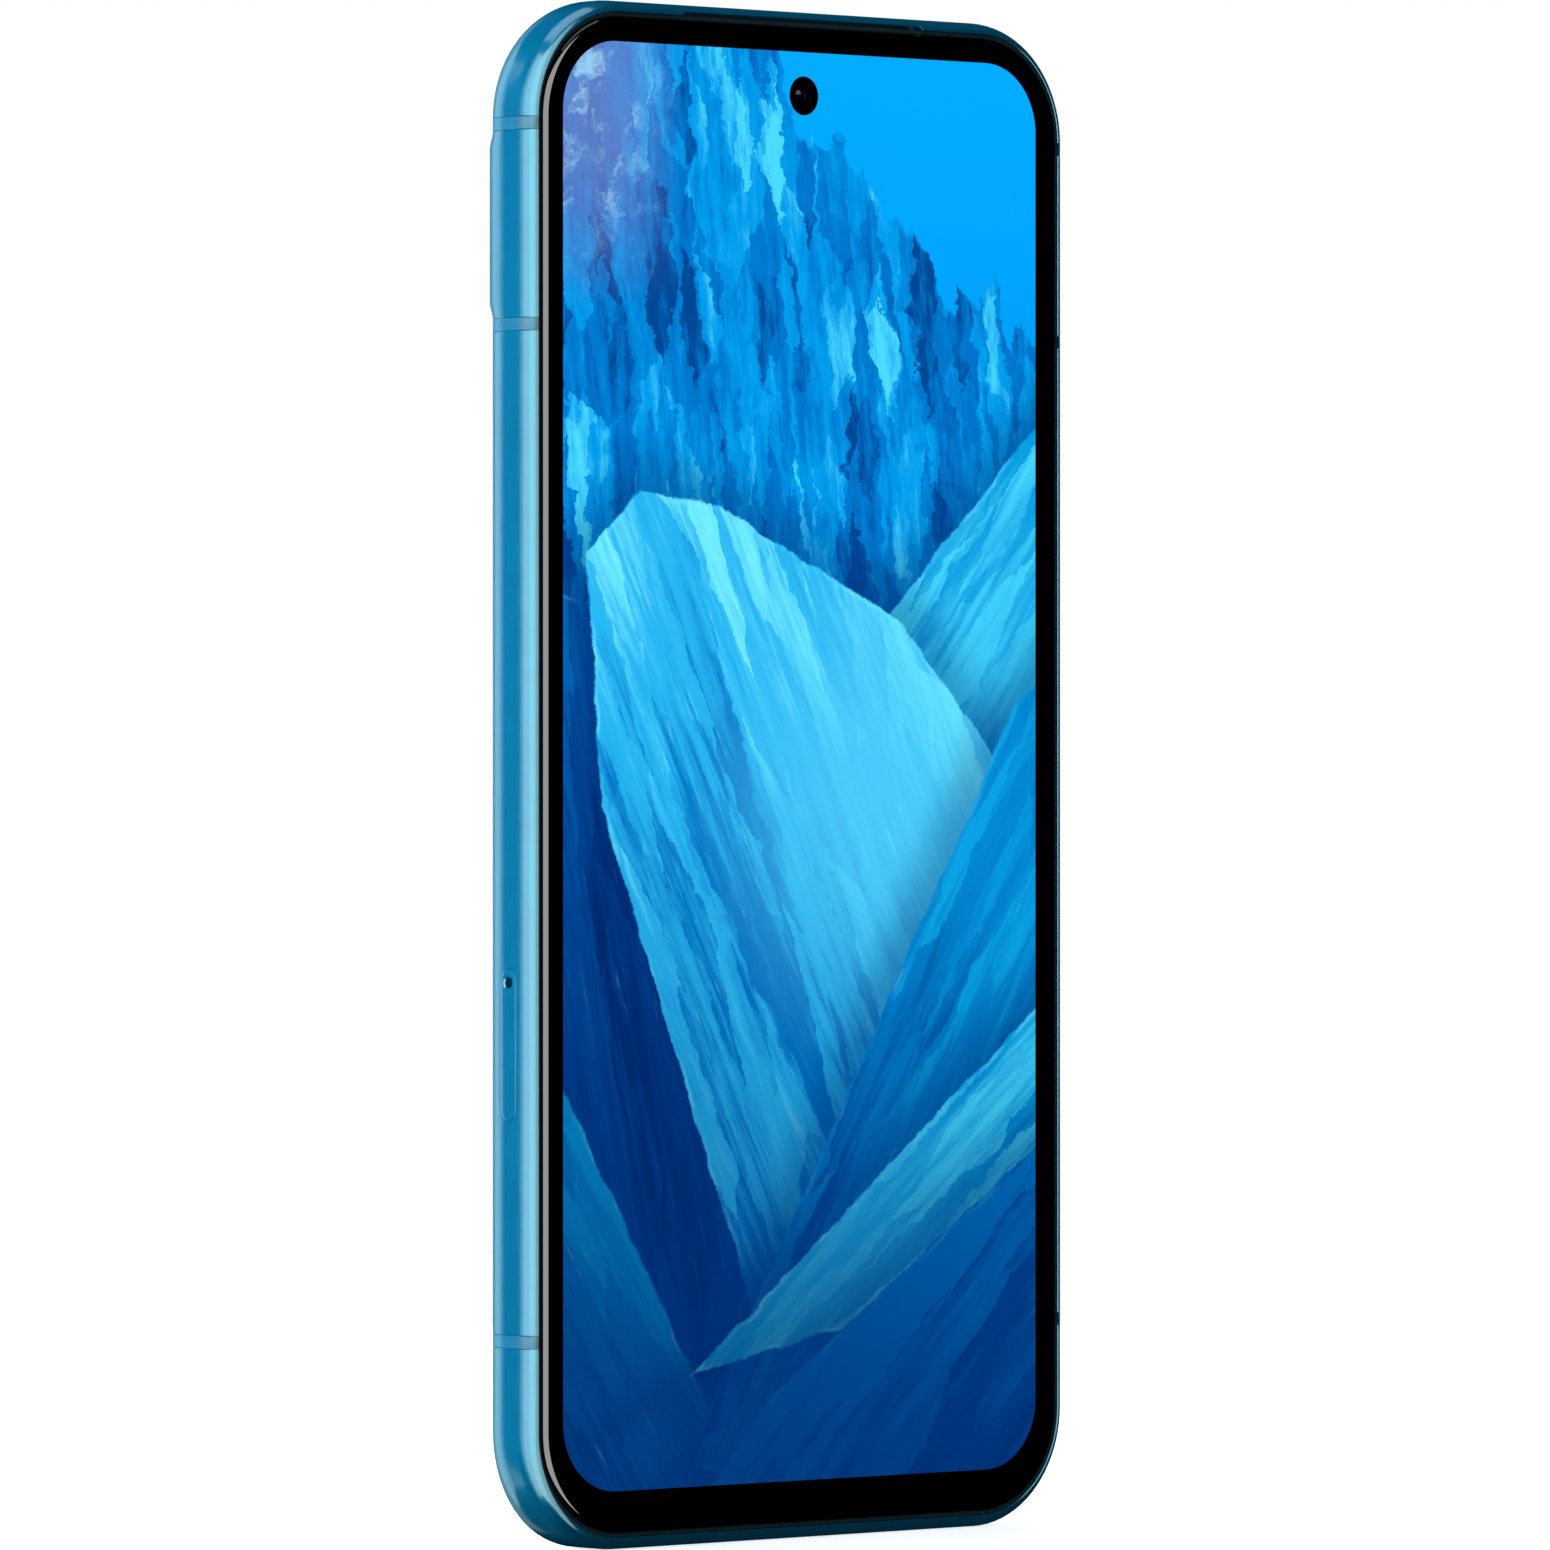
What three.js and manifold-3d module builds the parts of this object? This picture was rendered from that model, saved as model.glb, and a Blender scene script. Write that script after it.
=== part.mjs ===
// A slab smartphone: an aluminium frame with a full-width camera bar, a glass front, a moulded
// back, and the boards, battery, cameras, speakers and SIM drawer that it holds.
//
// Millimetres. X runs across the phone, Z up from its bottom edge, and depths are measured along
// +Y from the front of the glass, until the last lines put the middle of the body at Y = 0.
import * as THREE from "three";
import { mergeVertices } from "three/addons/utils/BufferGeometryUtils.js";
import Module from "manifold-3d";

const wasm = await Module();
wasm.setup();

// ---------------------------------------------------------------- driving dimensions

const WIDTH = 72.7;
const HEIGHT = 152.1;
const DEPTH = 8.9;
const CORNER_R = 11.8;
const CORNER_STEPS = 7;

const GAP = 0.03; // between parts that touch
const FIT = 0.06; // round a part that slides

// The frame's wall, as depths, and as insets from the widest outline.
const LIP_INSET = 1.21;
const LIP_DEPTH = 0.35;
const FLAT_START = 2.6; // the flat band along the sides and the top
const FLAT_END = 4.0;
const FOOT_START = 1.85; // the wider flat under the bottom edge
const FOOT_END = 6.1;
const SEAM_DEPTH = 7.64; // where the frame meets the back cover
const SIDE_WALL = 1.3;
const SHELF_INSET = 3.3;
const SHELF_FRONT = 1.4;
const SHELF_BACK = 2.35;
const SIDE_FEATURE_DEPTH = 3.64; // the line of the SIM drawer and the keys

// The screen.
const GLASS_INSET = 1.64;
const GLASS_THICKNESS = 0.7;
const GLASS_ROUND = 0.81;
const GLASS_EDGE = 0.42;
const ACTIVE_HEIGHT = 142.2;
const SCREEN_RISE = 0.83; // the lit area's middle, above the middle of the phone
const FRONT_CAMERA_DROP = 4.34; // below the top of the lit area
const FRONT_CAMERA_HOLE_R = 1.95;

// The camera bar, and the antenna breaks at its feet.
const BAR_BOTTOM = 120.75;
const BAR_TOP = 138.9;
const BAR_RISE = 1.2;
const BAR_RAMP = 1.6;
const BAR_SKIN = 0.12; // how far its edges stand proud of the cover
const BREAK_HEIGHT = 1.3;
const BREAK_DEPTH = 0.9;
const BREAKS = { upper: 139.62, middle: 120.0, lower: 20.7 };

const WINDOW = { x: 13.5, length: 31, height: 12.4, top: 10.02, thickness: 0.67 };
const MAIN_CAMERA = { x: 22.8, size: 11.4, barrelR: 4.1 };
const WIDE_CAMERA = { x: 4.2, size: 9.6, barrelR: 3.1 };
const FLASH = { x: -9.5, r: 2.4 };

// The keys on the right, and the SIM drawer on the left.
const KEY_WIDTH = 2.3;
const KEY_PROUD = 0.45;
const POWER_KEY = { z: 105, length: 9.6 };
const VOLUME_KEY = { z: 85, length: 20 };
const SIM = { z: 49.7, length: 14.9, width: 2.4, pinHoleZ: 55.73, pinHoleR: 0.5 };

// The bottom edge.
const PORT_DEPTH = 3.95;
const PORT = { width: 8.94, height: 3.26, wall: 0.3, mouth: 0.5, back: 8.4 };
const GRILLE = { x: 14.8, length: 12, height: 1.5 };

// The stack behind the screen.
const MID_PLATE = [1.6, 2.1];
const BOARD = [4.75, 5.45];
const BRACKET = [6.4, 7.0];
const BATTERY = { x0: -16.6, x1: 32.6, z0: 24.5, z1: 110.5, front: 2.3, back: 6.95 };
const COVER_THICKNESS = 0.9;

const midZ = HEIGHT / 2;
const barZ = (BAR_BOTTOM + BAR_TOP) / 2;
const backRadius = DEPTH - FLAT_END;
const screenZ = midZ + SCREEN_RISE;
const frontCameraZ = screenZ + ACTIVE_HEIGHT / 2 - FRONT_CAMERA_DROP;

// ---------------------------------------------------------------- solids

// A closed geometry as a solid, turned to face outwards.
function solid(geometry) {
  const bare = new THREE.BufferGeometry();
  bare.setAttribute("position", geometry.getAttribute("position").clone());
  if (geometry.index) bare.setIndex(geometry.index);
  const merged = mergeVertices(bare, 1e-4);
  const triVerts = new Uint32Array(merged.index.array);
  const make = () =>
    new wasm.Manifold(
      new wasm.Mesh({
        numProp: 3,
        vertProperties: merged.attributes.position.array,
        triVerts,
      }),
    );
  const made = make();
  if (made.volume() >= 0) return made;
  for (let i = 0; i < triVerts.length; i += 3) {
    [triVerts[i + 1], triVerts[i + 2]] = [triVerts[i + 2], triVerts[i + 1]];
  }
  return make();
}

function geometryOf(manifold) {
  const mesh = manifold.getMesh();
  const position = new Float32Array(mesh.numVert * 3);
  for (let i = 0; i < mesh.numVert; i++) {
    position.set(mesh.vertProperties.subarray(i * mesh.numProp, i * mesh.numProp + 3), i * 3);
  }
  const geometry = new THREE.BufferGeometry();
  geometry.setAttribute("position", new THREE.BufferAttribute(position, 3));
  geometry.setIndex(new THREE.BufferAttribute(new Uint32Array(mesh.triVerts), 1));
  geometry.computeVertexNormals();
  return geometry;
}

const join = (...parts) => parts.reduce((a, b) => a.add(b));
const cut = (body, ...tools) => tools.reduce((a, b) => a.subtract(b), body);

// A box between two values of x, of depth and of z.
function box([x0, x1], [y0, y1], [z0, z1]) {
  const geometry = new THREE.BoxGeometry(x1 - x0, y1 - y0, z1 - z0);
  return solid(geometry.translate((x0 + x1) / 2, (y0 + y1) / 2, (z0 + z1) / 2));
}

const span = (middle, size) => [middle - size / 2, middle + size / 2];

function roundedShape(width, height, r) {
  const w = width / 2;
  const h = height / 2;
  const shape = new THREE.Shape();
  shape.absarc(w - r, h - r, r, 0, Math.PI / 2);
  shape.absarc(r - w, h - r, r, Math.PI / 2, Math.PI);
  shape.absarc(r - w, r - h, r, Math.PI, 1.5 * Math.PI);
  shape.absarc(w - r, r - h, r, 1.5 * Math.PI, 2 * Math.PI);
  return shape;
}

// A plate with rounded corners that faces front and back.
function plate(x, z, width, height, r, [y0, y1], steps = 4) {
  const options = { depth: y1 - y0, bevelEnabled: false, curveSegments: steps };
  const geometry = new THREE.ExtrudeGeometry(roundedShape(width, height, r), options);
  return solid(geometry.rotateX(Math.PI / 2).translate(x, y1, z));
}

// A bar with round ends that runs sideways, through the left or right wall.
function sidePill([x0, x1], depth, z, width, length, steps = 4) {
  const options = { depth: x1 - x0, bevelEnabled: false, curveSegments: steps };
  const shape = roundedShape(length, width, width / 2 - 1e-3);
  const geometry = new THREE.ExtrudeGeometry(shape, options);
  return solid(geometry.rotateY(Math.PI / 2).translate(x0, depth, z));
}

// A bar with round ends that runs up and down, through the top or bottom wall.
function uprightPill(x, depth, width, height, [z0, z1], steps = 4) {
  const options = { depth: z1 - z0, bevelEnabled: false, curveSegments: steps };
  const shape = roundedShape(width, height, height / 2 - 1e-3);
  const geometry = new THREE.ExtrudeGeometry(shape, options);
  return solid(geometry.translate(x, depth, z0));
}

// A round bar along depth, along x or along z.
function rodAlongDepth(x, z, r, [y0, y1], sides = 20) {
  return solid(new THREE.CylinderGeometry(r, r, y1 - y0, sides).translate(x, (y0 + y1) / 2, z));
}

function rodAlongX([x0, x1], depth, z, r, sides = 16) {
  const geometry = new THREE.CylinderGeometry(r, r, x1 - x0, sides).rotateZ(Math.PI / 2);
  return solid(geometry.translate((x0 + x1) / 2, depth, z));
}

function rodAlongZ(x, depth, r, [z0, z1], sides = 16) {
  const geometry = new THREE.CylinderGeometry(r, r, z1 - z0, sides).rotateX(Math.PI / 2);
  return solid(geometry.translate(x, depth, (z0 + z1) / 2));
}

// Joins loops of equally many points by bands, and closes both ends with fans.
function loft(loops) {
  const count = loops[0].length;
  const position = loops.flat(2);
  const index = [];
  for (let k = 0; k < loops.length - 1; k++) {
    for (let i = 0; i < count; i++) {
      const a = k * count + i;
      const b = k * count + ((i + 1) % count);
      index.push(a, b, b + count, a, b + count, a + count);
    }
  }
  [0, loops.length - 1].forEach((k) => {
    const middle = [0, 1, 2].map((axis) => {
      return loops[k].reduce((sum, point) => sum + point[axis], 0) / count;
    });
    const hub = position.length / 3;
    position.push(...middle);
    for (let i = 0; i < count; i++) {
      const a = k * count + i;
      const b = k * count + ((i + 1) % count);
      index.push(...(k === 0 ? [hub, b, a] : [hub, a, b]));
    }
  });
  const geometry = new THREE.BufferGeometry();
  geometry.setAttribute("position", new THREE.Float32BufferAttribute(position, 3));
  geometry.setIndex(index);
  return solid(geometry);
}

// The phone's outline, moved in by an inset, as a loop at one depth. The bottom edge can have an
// inset of its own, which the lower corners blend into.
function outline([inset, depth, footInset = inset]) {
  const x = WIDTH / 2 - CORNER_R;
  const z = midZ - CORNER_R;
  const corners = [
    [x, z],
    [-x, z],
    [-x, -z],
    [x, -z],
  ];
  return corners.flatMap(([cx, cz], quarter) =>
    Array.from({ length: CORNER_STEPS + 1 }, (_, i) => {
      const angle = ((quarter + i / CORNER_STEPS) * Math.PI) / 2;
      const downward = Math.max(0, -Math.sin(angle)) ** 2;
      const r = CORNER_R - inset - (footInset - inset) * downward;
      return [cx + r * Math.cos(angle), depth, midZ + cz + r * Math.sin(angle)];
    }),
  );
}

// A solid whose outline follows the phone's, through pairs of inset and depth.
const slab = (...profile) => loft(profile.map(outline));

// ---------------------------------------------------------------- the outer surface

// How far the surface stands in at a depth: an elliptic front edge, a flat, and a round back edge.
function surfaceInset(depth, flatStart, flatEnd) {
  if (depth < flatStart) {
    const share = (flatStart - depth) / (flatStart - LIP_DEPTH);
    return LIP_INSET * (1 - Math.sqrt(1 - share ** 2));
  }
  const r = DEPTH - flatEnd;
  return r - Math.sqrt(r ** 2 - Math.max(0, depth - flatEnd) ** 2);
}

const skin = (depth) => [
  surfaceInset(depth, FLAT_START, FLAT_END),
  depth,
  surfaceInset(depth, FOOT_START, FOOT_END),
];

function frontSkin(steps) {
  return Array.from({ length: steps + 1 }, (_, i) => {
    const angle = (i / steps) * (Math.PI / 2);
    return skin(FLAT_START - (FLAT_START - LIP_DEPTH) * Math.cos(angle));
  });
}

const backSkin = (fromDepth, toDepth, steps) =>
  backRound(fromDepth, toDepth, steps).map(([, depth]) => skin(Math.min(depth, DEPTH)));

// The back edge as pairs of inset and depth, on an arc that ends in the back face.
function backRound(fromDepth, toDepth, steps, rise = 0) {
  const r = backRadius + rise;
  const start = Math.asin((fromDepth - FLAT_END) / r);
  const end = Math.asin(Math.min(1, (toDepth - FLAT_END) / r));
  return Array.from({ length: steps + 1 }, (_, i) => {
    const angle = start + (i / steps) * (end - start);
    return [r * (1 - Math.cos(angle)), FLAT_END + r * Math.sin(angle)];
  });
}

const frameOutside = slab(...frontSkin(4), ...backSkin(FLAT_END, SEAM_DEPTH, 4));
const coverFoot = SEAM_DEPTH + GAP;
const coverOutside = slab(...backSkin(coverFoot, DEPTH, 5));

// The bar's raised body: the phone's cross-section with a deeper back, faded in at each end.
function barBody(leastRise) {
  const ramp = [0, 0.16, 0.5, 0.84, 1];
  const stations = [];
  ramp.forEach((share, i) => {
    const along = (i / (ramp.length - 1)) * BAR_RAMP;
    stations.push([BAR_BOTTOM + along, share]);
    stations.unshift([BAR_TOP - along, share]);
  });
  stations.sort((a, b) => a[0] - b[0]);
  return loft(
    stations.map(([z, share]) => {
      const rise = leastRise + (BAR_RISE - leastRise) * share;
      const half = backRound(FLAT_END, DEPTH + rise, 8, rise);
      half.unshift([0, FLAT_START]);
      const left = half.map(([inset, depth]) => [inset - WIDTH / 2, depth, z]);
      const right = half.map(([inset, depth]) => [WIDTH / 2 - inset, depth, z]);
      return [...left, ...right.reverse()];
    }),
  );
}

// ---------------------------------------------------------------- finishes

const finish = (color, metalness, roughness, extra = {}) =>
  new THREE.MeshStandardMaterial({ color, metalness, roughness, ...extra });

const finishes = {
  blueMetal: finish(0x2b8fbd, 0.75, 0.34),
  bluePlastic: finish(0x1f86b4, 0, 0.5),
  blackGlass: finish(0x050506, 0, 0.05),
  clearGlass: finish(0xdfe6e8, 0, 0.04, { transparent: true, opacity: 0.3 }),
  screen: finish(0x0f6fc4, 0, 0.3),
  blackRubber: finish(0x101415, 0, 0.8),
  blackPlastic: finish(0x161819, 0, 0.6),
  steel: finish(0xb9bcc0, 1, 0.3),
  mesh: finish(0x0b1a26, 0.6, 0.6),
  board: finish(0x0d3b2a, 0, 0.45),
  copper: finish(0xb46a3c, 1, 0.35),
  ferrite: finish(0x3a3b3d, 0.2, 0.7),
  film: finish(0xb88d2f, 0, 0.4),
  wrap: finish(0x1b1d20, 0, 0.5),
  gold: finish(0xcfa24a, 1, 0.3),
  ledYellow: finish(0xe8d56a, 0, 0.4),
};

const phone = new THREE.Group();

function section(...meshes) {
  const group = new THREE.Group();
  meshes.forEach((mesh) => group.add(mesh));
  phone.add(group);
  return group;
}

function piece(name, manifold, material) {
  const mesh = new THREE.Mesh(geometryOf(manifold), material);
  mesh.name = name;
  return mesh;
}

// ---------------------------------------------------------------- frame and antenna breaks

const glassPocket = slab([LIP_INSET, -1], [LIP_INSET, SHELF_FRONT]);

const frameInside = slab(
  [SIDE_WALL, SHELF_BACK],
  [SIDE_WALL, 4.4],
  [2.0, 5.7],
  [3.1, 6.9],
  [3.1, SEAM_DEPTH + 1],
);

const sealGroove = cut(
  slab([1.98, SEAM_DEPTH - 0.1], [1.98, SEAM_DEPTH + 1]),
  slab([3.6, SEAM_DEPTH - 1], [3.6, SEAM_DEPTH + 2]),
);

// The slits in the wall that the plastic breaks fill, or the breaks themselves, a gap smaller.
function breakBand(z, side, slack) {
  const outer = WIDTH / 2 + 1;
  const x = side < 0 ? [-outer, 0] : [0, outer];
  const band = box(x, [-1, SEAM_DEPTH - slack], span(z, BREAK_HEIGHT - 2 * slack));
  const inset = BREAK_DEPTH - slack;
  const core = slab([inset + 1.2, -1], [inset, 2.2], [inset, 4.4], [inset + 1.5, SEAM_DEPTH + 1]);
  return cut(band, core);
}

const sides = { left: -1, right: 1 };

function antennaBreaks() {
  return Object.entries(sides).flatMap(([sideName, side]) =>
    Object.entries(BREAKS).map(([place, z]) => {
      const shape = breakBand(z, side, GAP).intersect(frameOutside);
      const name = `antenna_break_${sideName}_${place}`;
      return piece(name, cut(shape, glassPocket), finishes.bluePlastic);
    }),
  );
}

const earpieceSlit = box([-16, 16], [-1, 1.3], [148, HEIGHT - 0.85]);

function keySlot(key) {
  const x = [WIDTH / 2 - 3, WIDTH / 2 + 1];
  const length = key.length + 2 * FIT;
  return sidePill(x, SIDE_FEATURE_DEPTH, key.z, KEY_WIDTH + 2 * FIT, length);
}

function frame() {
  const shoulders = barBody(0).intersect(box([-40, 40], [-1, SEAM_DEPTH], [100, 150]));
  const lessBreaks = Object.values(BREAKS).flatMap((z) =>
    Object.values(sides).map((side) => breakBand(z, side, 0)),
  );
  const simSlot = sidePill(
    [-WIDTH / 2 - 1, 3 - WIDTH / 2],
    SIDE_FEATURE_DEPTH,
    SIM.z,
    SIM.width + 2 * FIT,
    SIM.length + 2 * FIT,
  );
  const portHole = uprightPill(0, PORT_DEPTH, PORT.width + 0.2, PORT.height + 0.2, [-1, 4]);
  const grilles = Object.values(sides).map((side) =>
    uprightPill(side * GRILLE.x, PORT_DEPTH, GRILLE.length, GRILLE.height, [-1, 3]),
  );
  const topMicrophoneHole = rodAlongZ(-18.5, PORT_DEPTH, 0.5, [HEIGHT - 3, HEIGHT + 1]);
  return cut(
    join(frameOutside, shoulders),
    glassPocket,
    slab([SHELF_INSET, 0], [SHELF_INSET, SHELF_BACK + 1]),
    frameInside,
    sealGroove,
    ...lessBreaks,
    earpieceSlit,
    simSlot,
    keySlot(POWER_KEY),
    keySlot(VOLUME_KEY),
    portHole,
    ...grilles,
    topMicrophoneHole,
  );
}

// The plate inside the frame, with the posts that the boards and brackets are screwed to.
const SCREWS = [
  [-29.5, 139],
  [31, 118.6],
  [-14.6, 118.6],
  [-16.5, 20.6],
  [5.6, 20.6],
];

function midPlate() {
  const inset = SHELF_INSET + GAP;
  const sheet = slab([inset, MID_PLATE[0]], [inset, MID_PLATE[1]]);
  const posts = SCREWS.map(([x, z]) => {
    return rodAlongDepth(x, z, 1.6, [MID_PLATE[0] + 0.1, BOARD[0] - GAP], 14);
  });
  const bores = SCREWS.map(([x, z]) => rodAlongDepth(x, z, 0.72, [2.3, 6], 12));
  return cut(
    join(sheet, ...posts),
    ...bores,
    rodAlongDepth(0, frontCameraZ, 2.0, [1, 3]),
    plate(0, 33, 9, 9, 0.6, [1, 3], 2),
    box([-7, 7], [1, 3], [4.6, 6.4]),
  );
}

section(
  piece("frame", frame(), finishes.blueMetal),
  ...antennaBreaks(),
  piece("mid_plate", midPlate(), finishes.steel),
);

// ---------------------------------------------------------------- screen

function coverGlass() {
  const steps = 4;
  const rounded = Array.from({ length: steps + 1 }, (_, i) => {
    const angle = (i / steps) * (Math.PI / 2);
    const inset = GLASS_INSET + GLASS_ROUND * (1 - Math.cos(angle));
    return [inset, GLASS_EDGE * (1 - Math.sin(angle))];
  });
  return slab([GLASS_INSET, GLASS_THICKNESS], ...rounded);
}

// The black gasket shows as a thin line round the glass, and carries on beneath it as adhesive.
function displaySeal() {
  return cut(
    slab([LIP_INSET + 0.05, 0.55], [LIP_INSET + 0.05, SHELF_FRONT - GAP]),
    slab([GLASS_INSET - 0.04, 0], [GLASS_INSET - 0.04, GLASS_THICKNESS + GAP]),
    slab([SHELF_INSET - 0.1, 0], [SHELF_INSET - 0.1, 3]),
  );
}

const PANEL = [GLASS_THICKNESS + 0.05, 1.3];

function displayPanel() {
  const bottom = 3.7;
  const top = HEIGHT - SHELF_INSET - 0.1;
  const sheet = plate(0, (bottom + top) / 2, 65.8, top - bottom, 8.6, PANEL, 7);
  return cut(sheet, rodAlongDepth(0, frontCameraZ, FRONT_CAMERA_HOLE_R, [0, 3], 24));
}

section(
  piece("cover_glass", coverGlass(), finishes.clearGlass),
  piece("display_panel", displayPanel(), finishes.screen),
  piece("display_seal", displaySeal(), finishes.blackRubber),
  piece("display_flex", box([-6, 6], [1.36, 1.52], [4.8, 24]), finishes.film),
  piece("fingerprint_sensor", plate(0, 33, 8.4, 8.4, 0.5, [1.36, 2.05], 2), finishes.blackPlastic),
);

// ---------------------------------------------------------------- back cover and camera bar

const lensOpening = plate(8.4, barZ, 44.2, 12.9, 3, [5, 12], 4);

function backCover() {
  const inside = slab([SHELF_INSET, 7], [SHELF_INSET, DEPTH - COVER_THICKNESS]);
  return cut(coverOutside, inside, lensOpening);
}

function backCoverSeal() {
  const ring = slab([2.03, SEAM_DEPTH - 0.08], [2.03, SEAM_DEPTH]);
  return cut(ring, slab([3.05, 7], [3.05, 8]));
}

function cameraBar() {
  const rings = backSkin(coverFoot, DEPTH, 5).map(([inset, depth]) => [inset - GAP, depth + GAP]);
  const cover = slab([rings[0][0], coverFoot - 1], ...rings);
  const below = box([-40, 40], [-1, SEAM_DEPTH + GAP], [100, 150]);
  const seat = [WINDOW.top - WINDOW.thickness - GAP, 12];
  const { x, length, height } = WINDOW;
  return cut(
    barBody(BAR_SKIN),
    below,
    cover,
    plate(x, barZ, length + 0.1, height + 0.1, height / 2, seat, 8),
    plate(x, barZ, length - 1.8, height - 1.8, height / 2 - 1, [5, 12], 8),
    rodAlongDepth(FLASH.x, barZ, FLASH.r + 0.05, [5, 12], 24),
  );
}

function cameraWindow() {
  const { x, length, height, top, thickness } = WINDOW;
  return plate(x, barZ, length, height, height / 2 - 1e-3, [top - thickness, top], 8);
}

section(
  piece("back_cover", backCover(), finishes.bluePlastic),
  piece("back_cover_seal", backCoverSeal(), finishes.blackRubber),
  piece("camera_bar", cameraBar(), finishes.blueMetal),
  piece("camera_window", cameraWindow(), finishes.blackGlass),
);

// ---------------------------------------------------------------- cameras and flash

// A lens barrel: a stepped drum with a domed front glass, pointing at the back.
function barrel(x, z, r, [y0, y1]) {
  const rim = 0.25;
  const profile = [
    [0, y0],
    [r, y0],
    [r, y1 - rim],
    [r - rim, y1],
    [r * 0.72, y1],
    [r * 0.7, y1 - 0.4],
    [r * 0.35, y1 - 0.22],
    [0, y1 - 0.16],
  ];
  const points = profile.map(([radius, depth]) => new THREE.Vector2(radius, depth));
  return solid(new THREE.LatheGeometry(points, 24).translate(x, 0, z));
}

function cameraHousing({ x, size, barrelR }, [y0, y1], floor) {
  const body = plate(x, barZ, size, size, 1, [y0, y1], 3);
  return cut(body, rodAlongDepth(x, barZ, barrelR + 0.15, [floor, y1 + 1], 24));
}

function frontCameraHousing() {
  return cut(
    join(
      plate(0, frontCameraZ, 6.6, 6.6, 0.8, [2.6, 6.2], 3),
      rodAlongDepth(0, frontCameraZ, 1.7, [0.95, 2.7]),
    ),
    rodAlongDepth(0, frontCameraZ, 1.15, [0, 1.9]),
  );
}

function frontCameraLens() {
  const points = [
    [0, 1.85],
    [1.1, 1.85],
    [1.1, 1.3],
    [0.8, 1.12],
    [0.4, 1.02],
    [0, 0.98],
  ].map(([radius, depth]) => new THREE.Vector2(radius, depth));
  return solid(new THREE.LatheGeometry(points, 20).translate(0, 0, frontCameraZ));
}

section(
  piece("main_camera_housing", cameraHousing(MAIN_CAMERA, [2.3, 7.9], 3.4), finishes.steel),
  piece(
    "main_camera_lens",
    barrel(MAIN_CAMERA.x, barZ, MAIN_CAMERA.barrelR, [3.6, 8.85]),
    finishes.blackPlastic,
  ),
  piece("wide_camera_housing", cameraHousing(WIDE_CAMERA, [2.9, 7.7], 4), finishes.steel),
  piece(
    "wide_camera_lens",
    barrel(WIDE_CAMERA.x, barZ, WIDE_CAMERA.barrelR, [4.1, 8.9]),
    finishes.blackPlastic,
  ),
  piece("flash_led", box(span(FLASH.x, 3), [7.9, 8.6], span(barZ, 3)), finishes.ledYellow),
  piece("flash_diffuser", rodAlongDepth(FLASH.x, barZ, FLASH.r, [9, 10.04], 24), finishes.clearGlass),
  piece("front_camera_housing", frontCameraHousing(), finishes.blackPlastic),
  piece("front_camera_lens", frontCameraLens(), finishes.blackGlass),
);

// ---------------------------------------------------------------- keys

const keyFace = WIDTH / 2 + KEY_PROUD;
const innerWall = WIDTH / 2 - SIDE_WALL;

const FLANGE_WIDTH = 1.4;

// A cap in the wall, a flange that keeps it in, and a stem above each dome switch.
function key({ z, length }, flange, stems) {
  const face = sidePill([innerWall - 0.6, keyFace - 0.15], SIDE_FEATURE_DEPTH, z, KEY_WIDTH, length);
  const crown = sidePill(
    [keyFace - 0.2, keyFace],
    SIDE_FEATURE_DEPTH,
    z,
    KEY_WIDTH - 0.3,
    length - 0.3,
  );
  const back = sidePill(flange, SIDE_FEATURE_DEPTH, z, FLANGE_WIDTH, length + 1.4);
  const feet = stems.map((offset) => {
    return rodAlongX([34, flange[0] + 0.1], SIDE_FEATURE_DEPTH, z + offset, 0.6, 10);
  });
  return join(face, crown, back, ...feet);
}

const VOLUME_STEM = 7;

function buttonFlex() {
  const strip = box([33.3, 33.5], [2.6, 4.68], [75, 110]);
  const domes = [POWER_KEY.z, VOLUME_KEY.z - VOLUME_STEM, VOLUME_KEY.z + VOLUME_STEM].map((z) => {
    return rodAlongX([33.4, 33.7], SIDE_FEATURE_DEPTH, z, 0.95, 14);
  });
  return join(strip, ...domes);
}

section(
  piece("power_button", key(POWER_KEY, [34.4, 34.95], [0]), finishes.blueMetal),
  piece(
    "volume_rocker",
    key(VOLUME_KEY, [34.25, 34.72], [-VOLUME_STEM, VOLUME_STEM]),
    finishes.blueMetal,
  ),
  piece("button_flex", buttonFlex(), finishes.film),
);

// ---------------------------------------------------------------- SIM drawer and its ejector

const outsideX = -WIDTH / 2;
const trayEnd = -19.2;
const trayZ = [43.3, 54.3];
const TRAY_THICKNESS = 1.2;
const trayDepth = span(SIDE_FEATURE_DEPTH, TRAY_THICKNESS);

function simTray() {
  const wholeHead = [outsideX - 1, outsideX + 0.8];
  const head = sidePill(wholeHead, SIDE_FEATURE_DEPTH, SIM.z, SIM.width, SIM.length);
  const boss = sidePill([outsideX + 0.7, -34.7], SIDE_FEATURE_DEPTH, SIM.z, 1.5, 13.9);
  const cardX = [-33.2, -20.9];
  const cardZ = span((trayZ[0] + trayZ[1]) / 2, 8.8);
  return cut(
    join(head.intersect(frameOutside), boss, box([-34.8, trayEnd], trayDepth, trayZ)),
    box(cardX, [SIDE_FEATURE_DEPTH - 0.15, 6], cardZ),
    box([cardX[0] + 0.8, cardX[1] - 0.8], [0, 6], [cardZ[0] + 0.8, cardZ[1] - 0.8]),
    rodAlongX([-40, -30], SIDE_FEATURE_DEPTH, SIM.pinHoleZ, SIM.pinHoleR, 16),
  );
}

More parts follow.
